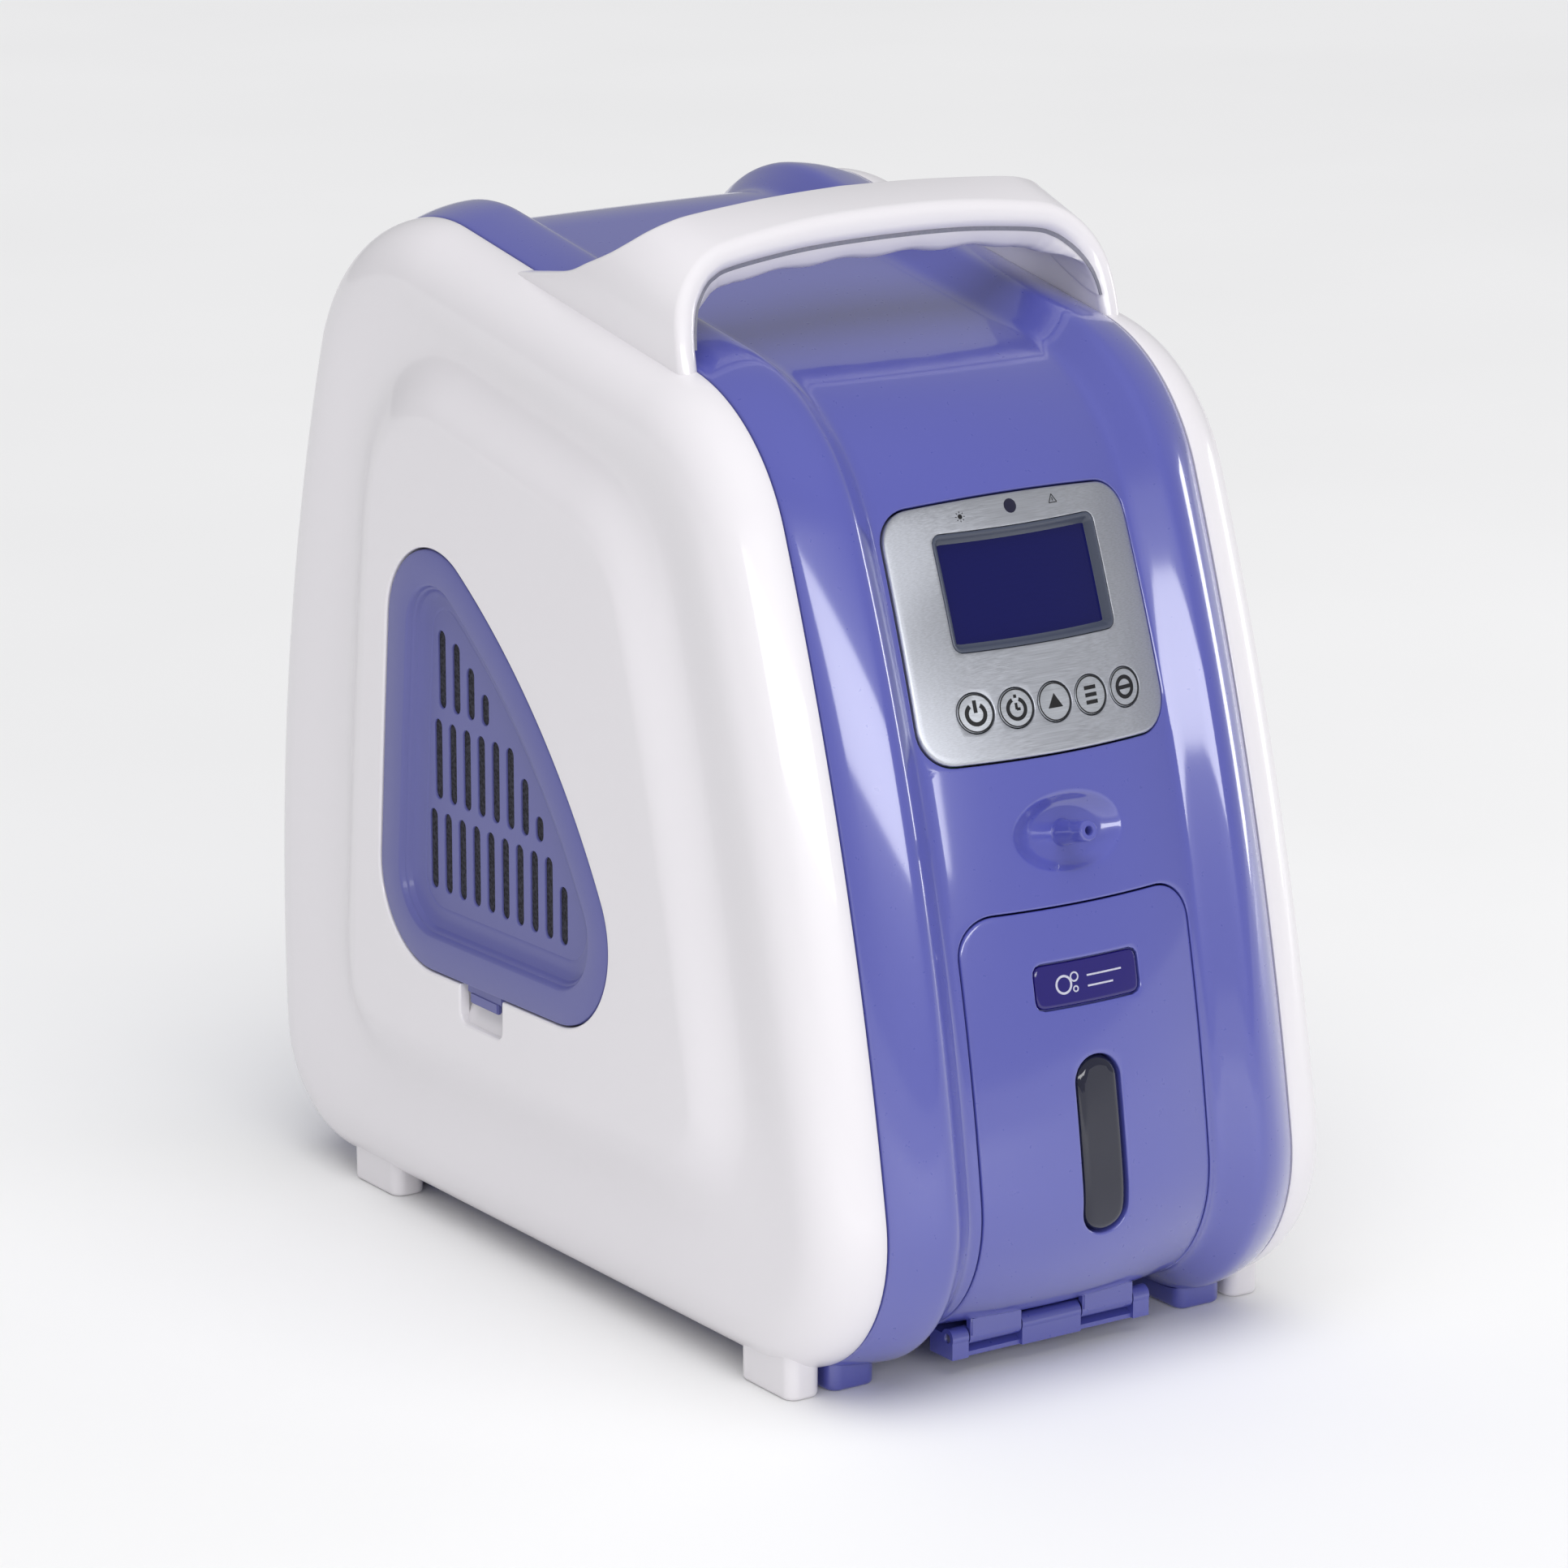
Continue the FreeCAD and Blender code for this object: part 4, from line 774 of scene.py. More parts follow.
def core_skin():
    """Rails, centre band and their openings as one moulded wall."""
    gap_rim = [(GAP + growth, depth) for growth, depth in rolled_rim(SEAM_ROLL, GAP_SINK)]
    door_v = front_v(DOOR_BOTTOM), front_v(DOOR_TOP)
    nozzle_v = front_v(NOZZLE_Z)
    openings = [
        Opening(door_contour, margin(VALLEY_X, *door_v, 2.2, 3.0), 4, gap_rim),
        Opening(dish_contour, margin(26.0, nozzle_v, nozzle_v, 17.0, 17.0), 4, dish_rim()),
        Opening(front_contour(BEZEL), margin(VALLEY_X, front_v(191.0), front_v(265.0), 3.0, 4.0), 3, gap_rim),
        Opening(rear_contour, margin(VALLEY_X, rear_v(REAR_Z[1]), rear_v(REAR_Z[0]), 3.0, 3.0), 4, gap_rim),
    ]
    inner = spaced([0.0, 26.0, VALLEY_X], 2.0)
    wall = spaced([VALLEY_X, CREST_X], 1.0)[1:]
    rail = spaced([CREST_X, SEAM_X - SEAM_ROLL], 1.6)[1:]
    half = np.concatenate([inner, wall, rail])
    xs = np.concatenate([-half[:0:-1], half])
    lowest_y = core_points(0.0, 0.0)[0][1]
    tray_front = lowest_y - TRAY_Y[0] + 0.3
    tray_rear = TOTAL - (TRAY_Y[1] - lowest_y) + 0.3
    stops = sorted({v for opening in openings for v in opening.margin[2:]})
    vs = spaced([tray_front, 0.0] + stops + [tray_rear], 2.4)
    sheet = Sheet()
    place = core_place(WALL)
    index = surface_grid(sheet, place, xs, vs, openings)
    for column, side in ((0, -1), (-1, 1)):
        layers = []
        for step in range(1, 5):
            turn = math.pi / 2 * step / 4
            x = side * (SEAM_X - SEAM_ROLL + SEAM_ROLL * math.sin(turn))
            layers.append(place(np.full(len(vs), x), vs[::-side], SEAM_ROLL * (1 - math.cos(turn))))
        sheet.stack(layers, list(index[column])[::-side], closed=False)
    return finish_piece(sheet.build("core_skin"), "chassis", "coloured_plastic", "core_shell")


# ---------------------------------------------------------------- side covers
COVER_CENTRE = complex(LATCH_Y, 150.0)
SIDE_NAMES = {-1: "left", 1: "right"}
DOWN = np.radians(-90)


def cover_angles():
    """Directions of the cover's rays, closer together round the thumb recess."""
    even = np.linspace(-math.pi, math.pi, 400, endpoint=False)
    reach = LATCH_HALF + 1.0
    near = DOWN + np.linspace(-1, 1, 61) * math.atan2(reach, 58.0)
    return np.sort(np.concatenate([even[abs(even - DOWN) > math.atan2(reach, 57.0)], near]))


def cover_loop(outline, inset, angles):
    """Loop of an outline in (y, z) at the cover's rays."""
    points = even_points(outline, inset, 0.7)
    return polar_loop(points, COVER_CENTRE, (1.0, 1.0), angles)


def pocket_loop(growth, angles):
    """Filter opening with the thumb recess below it, at the cover's rays."""
    loop = cover_loop(FILTER, -growth, angles)
    notch = rounded_box(LATCH_Y - LATCH_HALF, LATCH_Y + LATCH_HALF, LATCH_LOW, COVER_CENTRE.imag + 5, 3.0)
    reach = polar_radius(even_points(notch, -growth, 0.2), COVER_CENTRE, (1.0, 1.0), angles)
    base = np.abs(loop - COVER_CENTRE)
    longer = np.where(np.cos(angles - DOWN) > 0.9, np.maximum(base, reach), base)
    return COVER_CENTRE + longer * np.exp(1j * angles)


def ease(share):
    """Smooth step from 0 to 1."""
    return share * share * (3 - 2 * share)


def morph(start, end, steps):
    """Loops on the way from one to another, each with its eased share."""
    shares = [step / steps for step in range(1, steps + 1)]
    return [(start * (1 - share) + end * share, ease(share)) for share in shares]


def upright(x, loop):
    """Points of a (y, z) loop at the given x."""
    return np.stack([np.broadcast_to(x, loop.shape), loop.real, loop.imag], 1)


def cover_skin(side):
    """White cover: rolled edge, hollowed face, raised pillow and the filter opening."""
    angles = cover_angles()
    seam = SEAM_X + COVER_GAP
    rings = [(cover_loop(SEAM, inset, angles), seam + out)
             for inset, out in ((3.0, 0.0), (0.6, 0.0), (0.15, 0.15))]
    start = seam + 0.6
    for step in range(21):
        turn = math.pi / 2 * step / 20
        rings.append((cover_loop(SEAM, EDGE_ROUND * (1 - math.cos(turn)), angles),
                      start + (FACE_X - start) * math.sin(turn)))
    edge = cover_loop(SEAM, EDGE_ROUND, angles)
    foot = cover_loop(PLATEAU, -PILLOW_FOOT, angles)
    brow = cover_loop(PLATEAU, PILLOW_BROW, angles)
    hollow = HOLLOW * (0.35 + 0.65 * ease(np.clip((edge.imag - 20.0) / 90.0, 0, 1)))
    rise = PLATEAU_X - FACE_X + hollow
    rings += [(loop, FACE_X - hollow * eased) for loop, eased in morph(edge, foot, 16)]
    rings += [(loop, FACE_X - hollow + rise * eased) for loop, eased in morph(foot, brow, 20)]
    rings += [(loop, PLATEAU_X) for loop, _ in morph(brow, pocket_loop(GAP + 0.8, angles), 9)]
    rings += [(pocket_loop(GAP + growth, angles), PLATEAU_X - drop)
              for growth, drop in rolled_rim(0.8, 5.2)[1:]]
    centre = complex(np.mean([corner.real for corner in SEAM[0]]), 150.0)
    layers = []
    for loop, x in rings:
        x = np.broadcast_to(x, loop.shape)
        inwards = (centre - loop) / np.abs(centre - loop)
        shrink = loop + WALL * inwards * np.clip((FACE_X - HOLLOW - x) / 8, 0, 1)
        sunk = x - WALL * np.minimum(1.0, (x - SEAM_X) / 6)
        layers.append((upright(side * x, loop), upright(side * sunk, shrink)))
    sheet = Sheet()
    sheet.stack(layers)
    node = "cover_" + SIDE_NAMES[side]
    piece = join_pieces([sheet.build(node + "_skin"), latch_floor(side)], node + "_skin")
    return finish_piece(piece, "chassis", "white_plastic", node)


def latch_floor(side):
    """Scooped floor of the thumb recess and the seat behind the filter cover."""
    ys = np.linspace(LATCH_Y - LATCH_HALF - 1, LATCH_Y + LATCH_HALF + 1, 15)
    layers = []
    for share in np.linspace(0, 1, 10):
        x = side * (PLATEAU_X - 2.0 - 5.0 * math.sin(share * math.pi / 2))
        row = upright(x, ys + 1j * (LATCH_LOW - 1.0 + 17.0 * share))
        layers.append((row, row - np.array([side * 1.2, 0, 0])))
    sheet = Sheet()
    sheet.stack(layers, closed=False)
    return sheet.build("latch_floor")


# ---------------------------------------------------------------- filter covers
def flat_plate(name, loops, thickness, bevel, x, side):
    """Flat plate from closed (y, z) loops, the first outside and the rest holes, with bevelled edges."""
    curve = bpy.data.curves.new(name, "CURVE")
    curve.dimensions = "2D"
    curve.fill_mode = "BOTH"
    curve.extrude = thickness / 2 * MM - bevel * MM
    curve.bevel_depth = bevel * MM
    curve.bevel_resolution = 2
    for loop in loops:
        spline = curve.splines.new("POLY")
        spline.points.add(len(loop) - 1)
        for point, value in zip(spline.points, loop):
            point.co = (value.real * MM, value.imag * MM, 0, 1)
        spline.use_cyclic_u = True
    flat = add_object(name, curve)
    mesh = bpy.data.meshes.new_from_object(flat.evaluated_get(bpy.context.evaluated_depsgraph_get()))
    bpy.data.objects.remove(flat)
    mesh.transform(Matrix(((0, 0, side, side * x * MM), (1, 0, 0, 0), (0, 1, 0, 0), (0, 0, 0, 1))))
    if side < 0:
        mesh.flip_normals()
    return shade(add_object(name, mesh), 35.0)


def slot_loops():
    """Stadium slots in three rows, kept below the sloping front edge."""
    limit = even_points(FILTER, SLOT_TRIM, 0.4)
    loops = []
    for low, first_y in SLOT_ROWS:
        for column in range(SLOT_COLUMNS):
            y = first_y - column * SLOT_PITCH
            inside = min(y, limit.real[np.argmax(limit.imag)])
            near = limit[abs(limit.real - inside) < 1.0]
            if not len(near):
                continue
            high = min(low + SLOT_RISE, near.imag.max())
            if high - low < 2.0 * SLOT_HALF:
                continue
            top = complex(y, max(high, low + 2 * SLOT_HALF) - SLOT_HALF)
            turn = (SLOT_HALF + 0.3) * np.exp(1j * np.linspace(0, math.pi, 9))
            loops.append(np.concatenate([top + turn, complex(y, low + SLOT_HALF) - turn]))
    return loops


FLANGE_SUNK = 0.35
FRAME_WALL = (1.4, 1.6)     # inwards and behind
FLOOR_INSET = 18.0
FLOOR_THICK = 2.6
FLOOR_SUNK = 6.4
# Distance in from the outline and below the flange, from the flange's edge to the slotted floor
FILTER_PROFILE = [(0.25, 3.4), (0.0, 3.0), (0.0, 0.8), (0.25, 0.25), (0.8, 0.0), (10.6, 0.0), (11.1, 0.1),
                  (11.5, 0.4), (11.8, 1.0), (12.6, 2.4), (14.0, 3.7), (16.0, 4.6), (18.4, 5.0), (19.6, 5.0),
                  (20.0, 5.3)]


def filter_cover(side):
    """Flange, dished sides, slotted floor and latch tongue of a filter cover."""
    top = PLATEAU_X - FLANGE_SUNK
    t = arc_steps((26, 90, 26, 70, 26, 60))
    layers = []
    for inset, drop in FILTER_PROFILE:
        x = top - drop
        inner = outline_arcs(FILTER, min(inset + FRAME_WALL[0], 20.2))
        layers.append((upright(side * x, outline_at(outline_arcs(FILTER, inset), t)),
                       upright(side * (x - FRAME_WALL[1]), outline_at(inner, t))))
    sheet = Sheet()
    sheet.stack(layers)
    outside = even_points(FILTER, FLOOR_INSET, 1.2)
    plate = flat_plate("filter_floor", [outside] + slot_loops(), FLOOR_THICK, 0.3, top - FLOOR_SUNK, side)
    body = "filter_cover_" + SIDE_NAMES[side]
    piece = join_pieces([sheet.build("filter_frame"), plate, latch_tongue(side)], body + "_dished")
    return finish_piece(piece, body, "coloured_plastic", body, material=SATIN)


def latch_tongue(side):
    """Small stepped tongue under the filter cover's lower edge."""
    pieces = []
    for half_y, z_low, z_high, x_out in ((10.4, 88.6, 92.4, 2.6), (8.2, 85.6, 89.4, 2.2)):
        x = side * (PLATEAU_X - x_out)
        pieces.append(bevelled_box("tongue", (x - 1.0, LATCH_Y - half_y, z_low),
                                   (x + 1.0, LATCH_Y + half_y, z_high), 0.5))
    return join_pieces(pieces, "tongue")


# ---------------------------------------------------------------- carry handle
# Right half, outer surface: x, front y and z, rear y and z, thickness
HANDLE = np.array([
    (81.3, -64.0, 294.5, 38.5, 313.0, 6.7),
    (81.3, -63.3, 298.0, 38.5, 316.0, 6.7),
    (81.3, -62.5, 302.5, 23.0, 318.5, 6.7),
    (81.1, -61.2, 308.0, 4.0, 322.0, 6.8),
    (80.4, -59.8, 314.0, -7.0, 326.5, 7.2),
    (78.8, -58.5, 319.6, -16.8, 331.0, 7.7),
    (76.0, -57.3, 324.5, -23.0, 335.0, 8.1),
    (71.8, -56.1, 329.0, -27.5, 338.8, 8.4),
    (66.0, -54.8, 333.0, -29.5, 341.3, 8.6),
    (57.5, -53.8, 336.0, -29.5, 342.8, 8.8),
    (36.0, -52.9, 339.2, -27.5, 344.0, 9.2),
    (18.0, -52.5, 340.6, -25.5, 344.4, 9.5),
    (0.0, -52.4, 341.0, -24.0, 344.5, 9.6),
])


def spline_rows(rows, per_span):
    """Catmull-Rom rows through the given rows."""
    padded = np.vstack([2 * rows[0] - rows[1], rows, 2 * rows[-1] - rows[-2]])
    result = []
    for i in range(1, len(padded) - 2):
        a, b, c, d = padded[i - 1:i + 3]
        for share in np.linspace(0, 1, per_span, endpoint=False):
            result.append(0.5 * (2 * b + (c - a) * share + (2 * a - 5 * b + 4 * c - d) * share ** 2
                                 + (3 * b - a - 3 * c + d) * share ** 3))
    result.append(padded[-2])
    return np.array(result)


def mirrored_rows(half):
    """Right half followed by its mirror image on the left."""
    flip = half[::-1][1:].copy()
    flip[:, 0] *= -1
    return np.vstack([half, flip])


def section_loop(width, thick, front_round, rear_round, count=9):
    """Rounded section: first value runs front to rear, second runs inwards."""
    loop = []
    for along, inward, radius, first in ((0, 0, front_round, 180), (width, 0, rear_round, 270),
                                         (width, thick, rear_round, 0), (0, thick, front_round, 90)):
        radius = min(radius, thick * 0.49, width * 0.49)
        centre = (along + (radius if along == 0 else -radius), inward + (radius if inward == 0 else -radius))
        for turn in np.linspace(0, math.pi / 2, count):
            angle = math.radians(first) + turn
            loop.append((centre[0] + radius * math.cos(angle), centre[1] + radius * math.sin(angle)))
    return loop


def bar_frames(rows):
    """Each row with its front point, rearward and inward directions, and width."""
    middle = np.stack([rows[:, 0], (rows[:, 1] + rows[:, 3]) / 2, (rows[:, 2] + rows[:, 4]) / 2], 1)
    frames = []
    for row, tangent in zip(rows, np.gradient(middle, axis=0)):
        front = Vector((row[0], row[1], row[2]))
        rear = Vector((row[0], row[3], row[4]))
        along = (rear - front).normalized()
        inward = along.cross(Vector((tangent[0], 0, tangent[2])).normalized()).normalized()
        if inward.dot(HANDLE_INSIDE - front) < 0:
            inward = -inward
        frames.append((row, front, along, inward, (rear - front).length))
    return frames


GRIP_TIP_Z = 307.5
FINGER = 25.0           # one scallop's length
SCALLOP = 1.3
PAD_EDGE = 1.3          # white edge left beside the pad
PAD_WIDTH = 29.0
PAD_DEPTH = 8.6
PAD_LET_IN = 1.4
BAR_Z = 318.0           # the pad grows deep above this
HANDLE_CROWN = 0.5
HANDLE_INSIDE = Vector((0, -20, 300))


def handle_arch():
    """White arch of the handle."""
    loops = []
    for row, front, along, inward, width in bar_frames(mirrored_rows(spline_rows(HANDLE, 6))):
        loop = []
        for a, b in section_loop(width, row[5], 4.2, 3.0):
            swell = HANDLE_CROWN * math.sin(math.pi * min(max(a / width, 0), 1))
            loop.append(tuple(front + along * a + inward * (b - swell * (1 - b / row[5]))))
        loops.append(loop)
    return finish_piece(loft("handle_arch", loops, HANDLE_SMOOTH), "chassis", "white_plastic", "handle_shell")


def pad_loops(margin, depth, thin):
    """Loops of the finger pad: deep and scalloped under the bar, thin with a pointed end on the legs."""
    rows = mirrored_rows(spline_rows(HANDLE, 10))
    loops = []
    for row, front, along, inward, width in bar_frames(rows[rows[:, 2] > GRIP_TIP_Z]):
        share = min(max((row[2] - GRIP_TIP_Z) / 6.0, 0.01), 1.0)
        reach = (min(width, PAD_WIDTH) - 2.0 * PAD_EDGE) * math.sqrt(1 - (1 - share) ** 2) + 2 * margin
        proud = thin + (depth - thin) * ease(min(max((row[2] - BAR_Z) / 15.0, 0), 1))
        if abs(row[0]) < 2.2 * FINGER:
            proud -= SCALLOP * math.sin(math.pi * row[0] / FINGER) ** 2 * min(1.0, depth)
        base = front + along * (PAD_EDGE - margin) + inward * row[5]
        loop = []
        for u in np.linspace(-1, 1, 25):
            rise = max(0.0, 1 - abs(u) ** 2.4) ** (1 / 2.4)
            loop.append(tuple(base + along * (reach * (u + 1) / 2) + inward * (proud * rise - 0.02)))
        back = base - inward * PAD_LET_IN
        loops.append(loop + [tuple(back + along * reach), tuple(back)])
    return loops


def handle_grip():
    """Finger pad let into the arch, with a thin grey strip round it as painted shade of the narrow gap
    between pad and arch.
    """
    # Thin strip just proud of the arch, coloured as painted shade where the gap round the pad would fall
    # dark.
    line = loft("handle_grip_gap_shade", pad_loops(0.3, 0.14, 0.14), HANDLE_SMOOTH)
    finish_piece(line, "chassis", "dark_plastic", material=GRIP_GAP_SHADE)
    pad = loft("handle_grip_pad", pad_loops(0.0, PAD_DEPTH, 0.5), HANDLE_SMOOTH)
    return finish_piece(pad, "chassis", "white_plastic", "handle_grip")


# ---------------------------------------------------------------- control panel
def circle_contour(x, z, radius):
    """Round contour on the front in (x, v)."""
    turn = np.linspace(0, 2 * math.pi, 72, endpoint=False)
    return lambda growth: x + 1j * front_v(z) + (radius + growth) * np.exp(1j * turn)


def bezel_plate():
    """Brushed plate with its display window and key holes."""
    rim = rolled_rim(0.25, 0.8, 3)
    key_v = front_v(KEY_Z)
    openings = [Opening(circle_contour(x, KEY_Z, KEY_RADIUS + 0.35),
                        (x - 6.9, x + 6.9, key_v - 8.0, key_v + 8.0), 2, rim) for x in KEY_X]
    openings.append(Opening(front_contour(rounded_box(*LCD, LCD_ROUND)),
                            (LCD[0] - 1.6, LCD[1] + 1.6, front_v(LCD[2]) - 1.6, front_v(LCD[3]) + 1.6),
                            2, rim))
    sheet = panel_sheet(BEZEL, -PANEL_PROUD, 2.0, 0.9, 1.6, openings)
    return finish_piece(sheet.build("bezel_plate"), "chassis", "brushed_panel", "control_bezel")


def lcd_surround():
    """Frame that steps down to the display glass."""
    place = core_place(1.6)
    t = arc_steps((8, 22, 8, 38, 8, 22, 8, 38))
    layers = []
    for inset, depth in ((0.1, 1.2), (0.1, -0.2), (0.3, -0.5), (0.7, -PANEL_PROUD), (1.0, -0.5), (1.5, 0.2),
                         (2.6, 1.9), (2.9, 2.0)):
        loop = outline_at(outline_arcs(rounded_box(*LCD, LCD_ROUND), inset), t)
        layers.append(place(loop.real, front_v(loop.imag), depth))
    sheet = Sheet()
    sheet.stack(layers)
    return finish_piece(sheet.build("lcd_surround"), "chassis", "display_frame", "lcd_frame")


def lcd_glass():
    """Display glass under the frame."""
    sheet = panel_sheet(inset_box(LCD, 2.4, 1.0), 1.95, 1.0, 0.2, 3.0, (), 1.0, 0.3)
    return finish_piece(sheet.build("lcd_glass"), "chassis", "display_glass", "lcd_window")


def cap_disc(name, x, z, radius, depth, dome, drop, rings=8, roll=0.35):
    """Round cap that follows the front surface with a rolled edge."""
    sheet = Sheet()
    place = core_place(2.0)
    turn = np.linspace(0, 2 * math.pi, 48, endpoint=False)
    profile = [(radius * k / rings, depth - dome * (1 - (k / rings) ** 2)) for k in range(1, rings)]
    for step in range(5):
        angle = math.pi / 2 * step / 4
        profile.append((radius - roll + roll * math.sin(angle), depth + roll * (1 - math.cos(angle))))
    profile.append((radius, depth + drop))
    centre = sheet.add(*place([x], [front_v(z)], depth - dome))[0]
    first = sheet.stack([place(x + reach * np.cos(turn), front_v(z) + reach * np.sin(turn), at_depth)
                         for reach, at_depth in profile])
    sheet.fan(first, centre)
    return sheet.build(name)


# ---------------------------------------------------------------- printed icons
class Print:
    """Thin printed marks on the front surface, drawn round a centre."""

    def __init__(self, x, z, depth=-PANEL_PROUD, thick=0.06):
        self.x, self.v, self.depth, self.thick = x, float(front_v(z)), depth, thick
        self.sheet = Sheet()

    def place(self, points):
        points = np.asarray(points)
        x, v = self.x + points.real, self.v + points.imag
        return core_points(x, v, self.depth - self.thick), core_points(x, v, self.depth)

    def arc(self, centre, radius, width, start=0.0, end=360.0, steps=48):
        full = end - start >= 360.0
        turns = np.exp(1j * np.radians(np.linspace(start, end, steps + 1))[:steps if full else steps + 1])
        reaches = (radius - width / 2, radius + width / 2)
        self.sheet.stack([self.place(centre + reach * turns) for reach in reaches], closed=full)

    def line(self, start, end, width, step=0.6):
        way = (end - start) / abs(end - start) * 1j * width / 2
        middle = start + (end - start) * np.linspace(0.0, 1.0, max(2, round(abs(end - start) / step) + 1))
        self.sheet.stack([self.place(middle + shift) for shift in (way, -way)], closed=False)

    def shape(self, points):
        self.sheet.faces.append(tuple(self.sheet.add(*self.place(points))))

    def build(self, name, body="chassis", slot_name="dark_lens", material=None):
        finish_piece(self.sheet.build(name), body, slot_name, material=material or PRINT)


def key_icons():
    """Printed symbol on each key."""
    marks = {}
    for name, x in zip(KEY_NAMES, KEY_X):
        marks[name] = Print(x, KEY_Z)
        marks[name].arc(0, KEY_RADIUS - 0.35, 0.42)
    power = marks["key_power"]
    power.arc(-0.3j, 3.0, 1.3, 124, 416)
    power.line(0.1j, 3.9j, 1.2)
    timer = marks["key_timer"]
    timer.arc(-0.3j, 3.0, 1.2, 112, 428)
    timer.line(-0.5j, 1.5j, 0.9)
    timer.line(-0.4j, 1.3 - 0.4j, 0.9)
    timer.line(-0.5 + 3.5j, 0.5 + 3.5j, 1.0)
    marks["key_up"].shape([-2.7 - 1.8j, 2.7 - 1.8j, 2.6j])
    menu = marks["key_menu"]
    for level, reach in ((2.2, 2.2), (0.0, 2.2), (-2.2, 2.2)):
        menu.line(complex(-reach, level), complex(reach, level), 1.2)
    stop = marks["key_stop"]
    stop.arc(0, 3.0, 1.25)
    stop.line(-2.6 + 0j, 2.6 + 0j, 1.2)
    for name, mark in marks.items():
        mark.build(name + "_icon", name)


def panel_icons():
    """Small lamp symbol and warning triangle beside the lens."""
    lamp = Print(-18.0, LENS_Z - 1.2)
    lamp.shape([0.75 * np.exp(1j * turn) for turn in np.linspace(0, 2 * math.pi, 12, endpoint=False)])
    for step in range(8):
        turn = np.exp(1j * math.pi / 4 * step)
        lamp.line(1.15 * turn, 1.6 * turn, 0.22)
    lamp.build("lamp_icon")
    warning = Print(16.0, LENS_Z - 0.2)
    corners = [-1.5 - 1.0j, 1.5 - 1.0j, 1.6j]
    for start, end in zip(corners, corners[1:] + corners[:1]):
        warning.line(start, end, 0.25)
    warning.line(-0.5j, 0.6j, 0.25)
    warning.build("warning_icon")


def keys():
    """Key caps, each on its own body."""
    for name, x in zip(KEY_NAMES, KEY_X):
        piece = cap_disc(name + "_cap", x, KEY_Z, KEY_RADIUS, -PANEL_PROUD, 0.0, 1.5)
        finish_piece(piece, name, "key_silver", name)


def lens():
    """Dark domed lens."""
    piece = cap_disc("status_lens_dome", 0.0, LENS_Z, LENS_RADIUS, -0.5, 0.35, 1.2)
    finish_piece(piece, "chassis", "dark_lens", "status_lens")


def nozzle():
    """Outlet spigot with a rounded tip and a real bore."""
    point, normal = front_frame(0.0, NOZZLE_Z)
    floor = -DISH[2]
    profile = [(-SPIGOT_ROOT, BORE), (-SPIGOT_ROOT, 2.85), (floor - 0.4, 2.85), (floor - 0.2, 4.4),
               (floor + 0.1, 4.25), (floor + 0.5, 3.95), (floor + 1.4, 3.8), (3.0, 3.4),
               (SPIGOT_TIP - 0.8, 3.25), (SPIGOT_TIP - 0.35, 3.1), (SPIGOT_TIP, 2.7), (SPIGOT_TIP, 1.55),
               (SPIGOT_TIP - 0.3, BORE),
               (2.0, BORE), (0.1 - SPIGOT_ROOT, BORE)]
    piece = tube_mesh("outlet_spigot", profile, point, normal)
    finish_piece(piece, "chassis", "coloured_plastic", "outlet_nozzle")


# ---------------------------------------------------------------- humidifier door
def door_panel():
    """Door with its badge recess, sight glass opening and hinge knuckles."""
    openings = [
        Opening(front_contour(rounded_box(*WINDOW, 8.0)),
                margin(11.0, front_v(WINDOW[2]), front_v(WINDOW[3]), 3.0, 3.0), 3, rolled_rim(0.8, 1.4, 4)),
        Opening(front_contour(rounded_box(*BADGE, 3.0)),
                margin(21.5, front_v(BADGE[2]), front_v(BADGE[3]), 2.5, 2.5), 3, rolled_rim(0.5, 1.2, 4)),
    ]
    xs = spaced([-36.0, -21.5, -11.0, 11.0, 21.5, 36.0], 2.0)
    ends = {front_v(DOOR_BOTTOM) + 5.0, front_v(DOOR_TOP) - 6.0}
    stops = ends | {v for opening in openings for v in opening.margin[2:]}
    sheet = Sheet()
    surface_grid(sheet, core_place(WALL), xs, spaced(sorted(stops), 2.0), openings,
                 outer_edge(door_contour, 0.7, 1.2))
    pieces = [sheet.build("door_panel")]
    for side in (-1, 1):
        x_low, x_high = sorted(side * x for x in KNUCKLE_X)
        length = x_high - x_low
        profile = [(0, PIN_HOLE), (0, KNUCKLE), (length, KNUCKLE), (length, PIN_HOLE), (0.01, PIN_HOLE)]
        pieces.append(tube_mesh("knuckle", profile, (x_low, HINGE_Y, HINGE_Z), (1, 0, 0)))
        pieces.append(bevelled_box("arm", (x_low, HINGE_Y - 3.4, HINGE_Z), (x_high, HINGE_Y - 0.4, 19.0),
                                   0.5))
    body = "humidifier_door"
    finish_piece(join_pieces(pieces, "door_panel"), body, "coloured_plastic", body)
    floor = panel_sheet(rounded_box(*BADGE, 3.0), 2.2, 0.6, 0.1, 3.0, (), 1.0, 0.2)
    finish_piece(floor.build("badge_recess_floor"), body, "coloured_plastic")


def badge():
    """Domed badge with a generic bubble and bar mark."""
    dome = panel_sheet(inset_box(BADGE, 0.5, 2.6), 0.25, 1.4, 0.9, 1.5, (), 1.2, 0.6)
    finish_piece(dome.build("badge_dome"), "humidifier_door", "badge_blue", "door_badge")
    mark = Print(-9.0, (BADGE[2] + BADGE[3]) / 2, 0.25, 0.05)
    mark.arc(0, 2.6, 0.7)
    mark.arc(3.9 + 1.9j, 1.3, 0.5)
    mark.arc(4.1 - 1.8j, 0.8, 0.45)
    for level, reach in ((1.6, 13.0), (-1.6, 9.5)):
        mark.line(complex(8.5, level), complex(8.5 + reach, level), 0.55)
    mark.build("badge_mark", "humidifier_door", "badge_blue", LIGHT_PRINT)


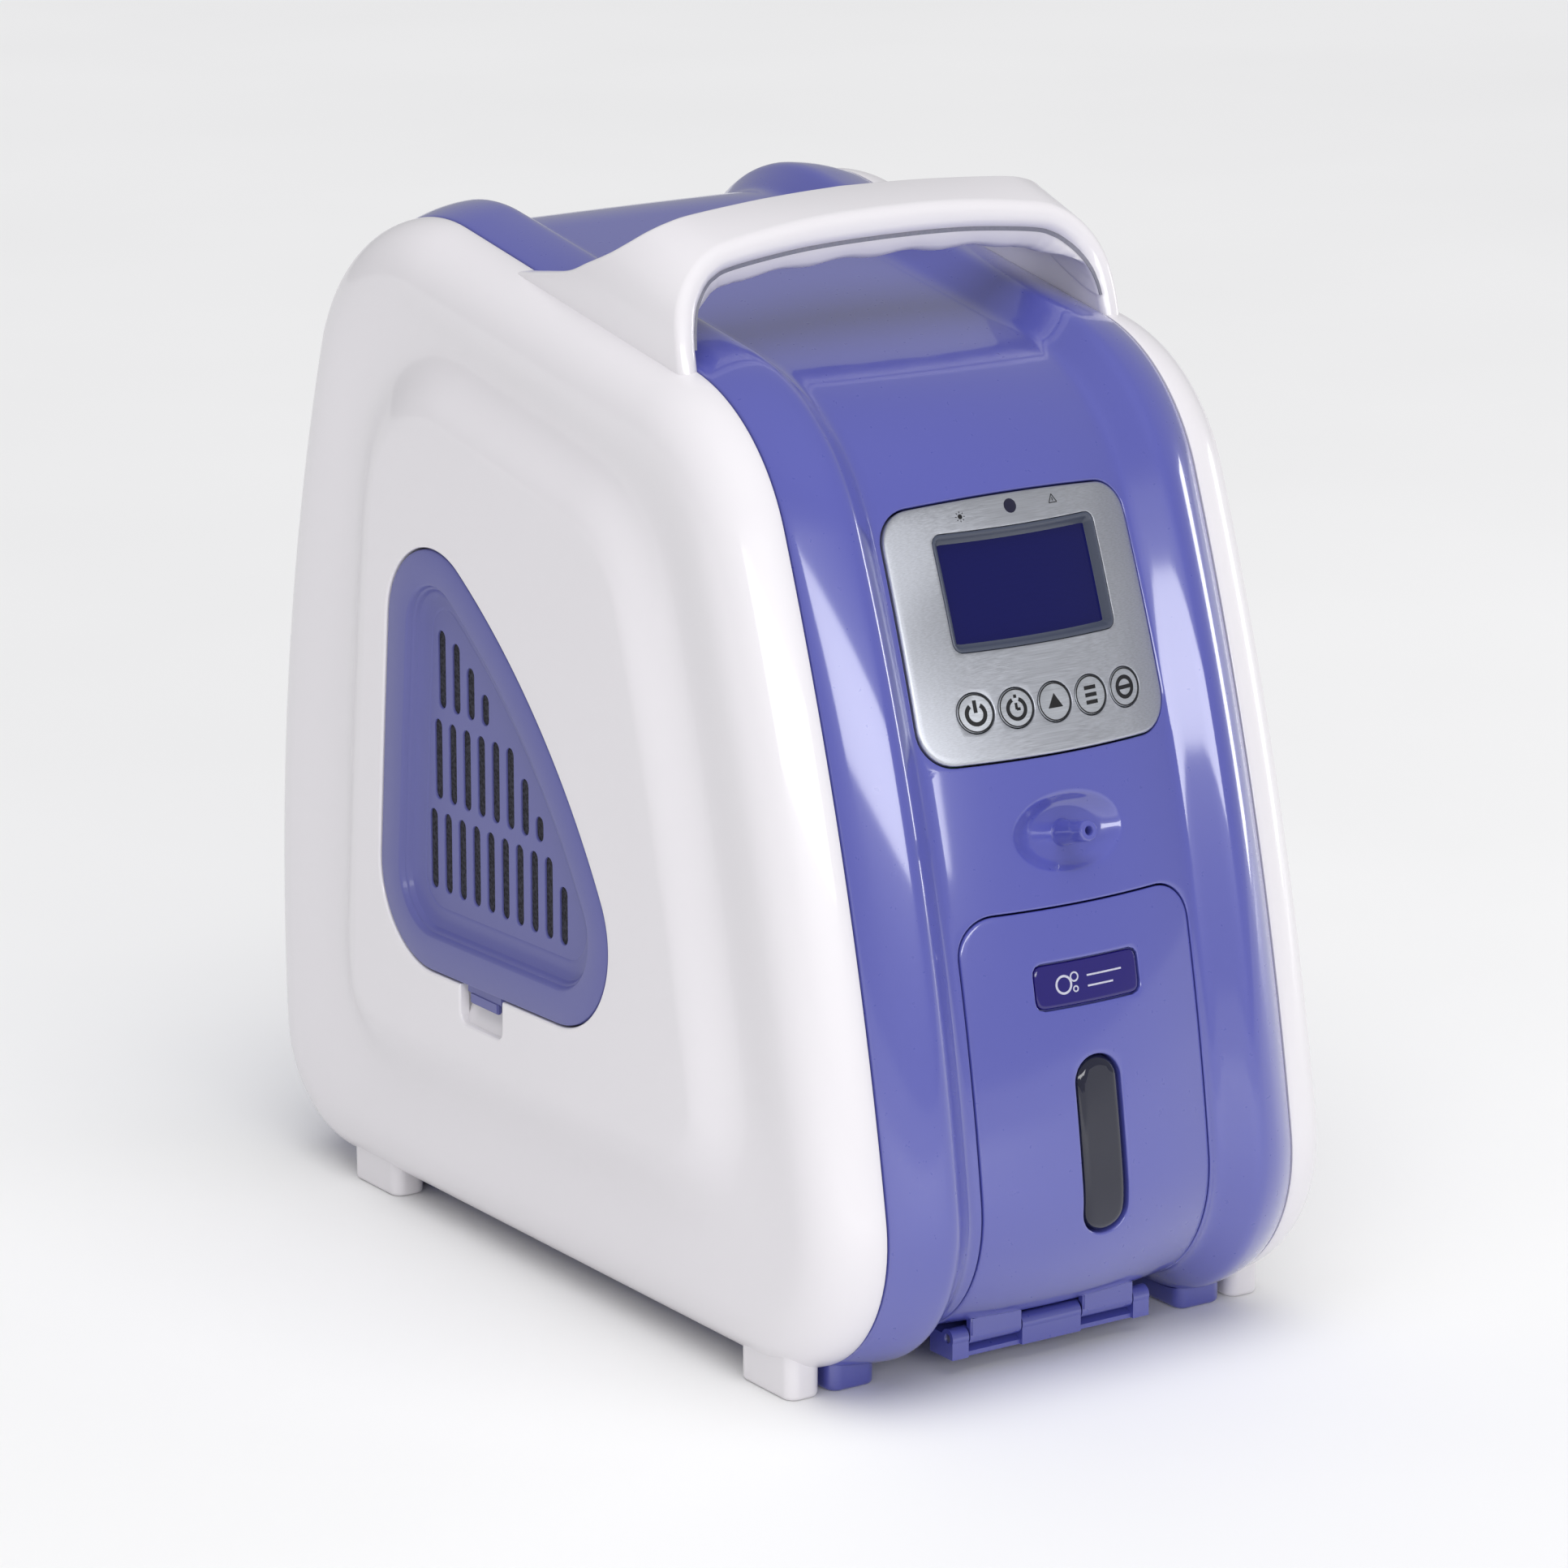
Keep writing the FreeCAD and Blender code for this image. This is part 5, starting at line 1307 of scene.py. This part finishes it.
def sight_glass():
    """Smoked pane with a broad rounded edge."""
    pane = panel_sheet(inset_box(WINDOW, 0.3, 7.7), 0.2, 1.2, 2.8, 1.3, (), 2.2, 0.3)
    finish_piece(pane.build("sight_pane"), "humidifier_door", "smoked_glass", "door_window")


def bottle_water():
    """Water in the humidifier bottle."""
    low, high = (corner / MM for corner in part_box("humidifier_bottle"))
    wall = 2.3
    water = bevelled_box("bottle_water", (low.x + wall, low.y + wall, low.z + wall),
                         (high.x - wall, high.y - wall, WATER_LEVEL), 4.0)
    finish_piece(water, "chassis", "clear_bottle", material=WATER)


# ---------------------------------------------------------------- stage
# Metres and watts: place, target, width and height, power
LAMPS = {
    "window": ((-0.66, -1.62, 0.67), (-0.06, -0.14, 0.19), (2.04, 0.31), 11.5),
    "side_strip": ((1.5, -0.25, 0.30), (0, 0, 0.2), (0.25, 0.5), 2.5),
}
FLOOR_REACH = 30.0
CAMERA_AZIMUTH, CAMERA_ELEVATION = math.radians(-34.0), math.radians(15.4)
CAMERA_DISTANCE = 2.182
CAMERA_TARGET = Vector((0.0, 0.004, 0.148))


def aim(thing, direction):
    """Turn a lamp or the camera to look along a direction."""
    thing.rotation_euler = Vector(direction).to_track_quat("-Z", "Y").to_euler()


def stage():
    """Floor, lights and surrounding light."""
    scene = bpy.context.scene
    mesh = bpy.data.meshes.new("floor")
    corners = [(x * FLOOR_REACH, y * FLOOR_REACH, 0) for x, y in ((-1, -1), (1, -1), (1, 1), (-1, 1))]
    mesh.from_pydata(corners, [], [(0, 1, 2, 3)])
    floor = add_object("floor", mesh)
    pale = ((noise, 3.0), (0.90, 0.90, 0.90), (0.93, 0.93, 0.93))
    mesh.materials.append(make_material("floor", pale, None, None, {"Roughness": 0.7}))
    floor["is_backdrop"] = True
    world = bpy.data.worlds.new("studio")
    world.use_nodes = True
    background = world.node_tree.nodes["Background"]
    background.inputs["Color"].default_value = (0.98, 0.98, 1.0, 1)
    background.inputs["Strength"].default_value = 0.4
    scene.world = world
    for name, (place, target, size, power) in LAMPS.items():
        data = bpy.data.lights.new(name, "AREA")
        data.shape = "RECTANGLE"
        data.size, data.size_y = size
        data.energy = power
        lamp = add_object(name, data)
        lamp.location = place
        aim(lamp, Vector(target) - Vector(place))
    data = bpy.data.lights.new("ceiling", "SUN")
    data.energy = 1.75
    data.angle = math.radians(60)
    lamp = add_object("ceiling", data)
    lamp.visible_glossy = False
    aim(lamp, (0.12, 0.25, -1.0))
    scene.view_settings.view_transform = "Standard"


def camera():
    """Long lens camera that looks down on the left front corner."""
    across, down = math.cos(CAMERA_ELEVATION), -math.sin(CAMERA_ELEVATION)
    forward = Vector((-math.sin(CAMERA_AZIMUTH) * across, math.cos(CAMERA_AZIMUTH) * across, down))
    data = bpy.data.cameras.new("camera")
    data.lens = 158.4
    data.sensor_width = 36.0
    data.clip_end = 100.0
    view = add_object("camera", data)
    view.location = CAMERA_TARGET - forward * CAMERA_DISTANCE
    aim(view, forward)
    bpy.context.scene.camera = view


# ---------------------------------------------------------------- build
camera()
stage()
for part in frame["record"]["subparts"]:
    piece = nodes[part["node"]]
    for slot in piece.material_slots:
        slot.material = MATERIALS[part["material_slot"]]
core_skin()
for side in (-1, 1):
    cover_skin(side)
    filter_cover(side)
handle_arch()
handle_grip()
bezel_plate()
lcd_surround()
lcd_glass()
keys()
key_icons()
panel_icons()
lens()
nozzle()
door_panel()
badge()
sight_glass()
bottle_water()


def corners(box):
    """Box corners as plain numbers."""
    return [[float(v) for v in corner] for corner in box]


{"cad": corners(cad_box), "visual": corners(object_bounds())}
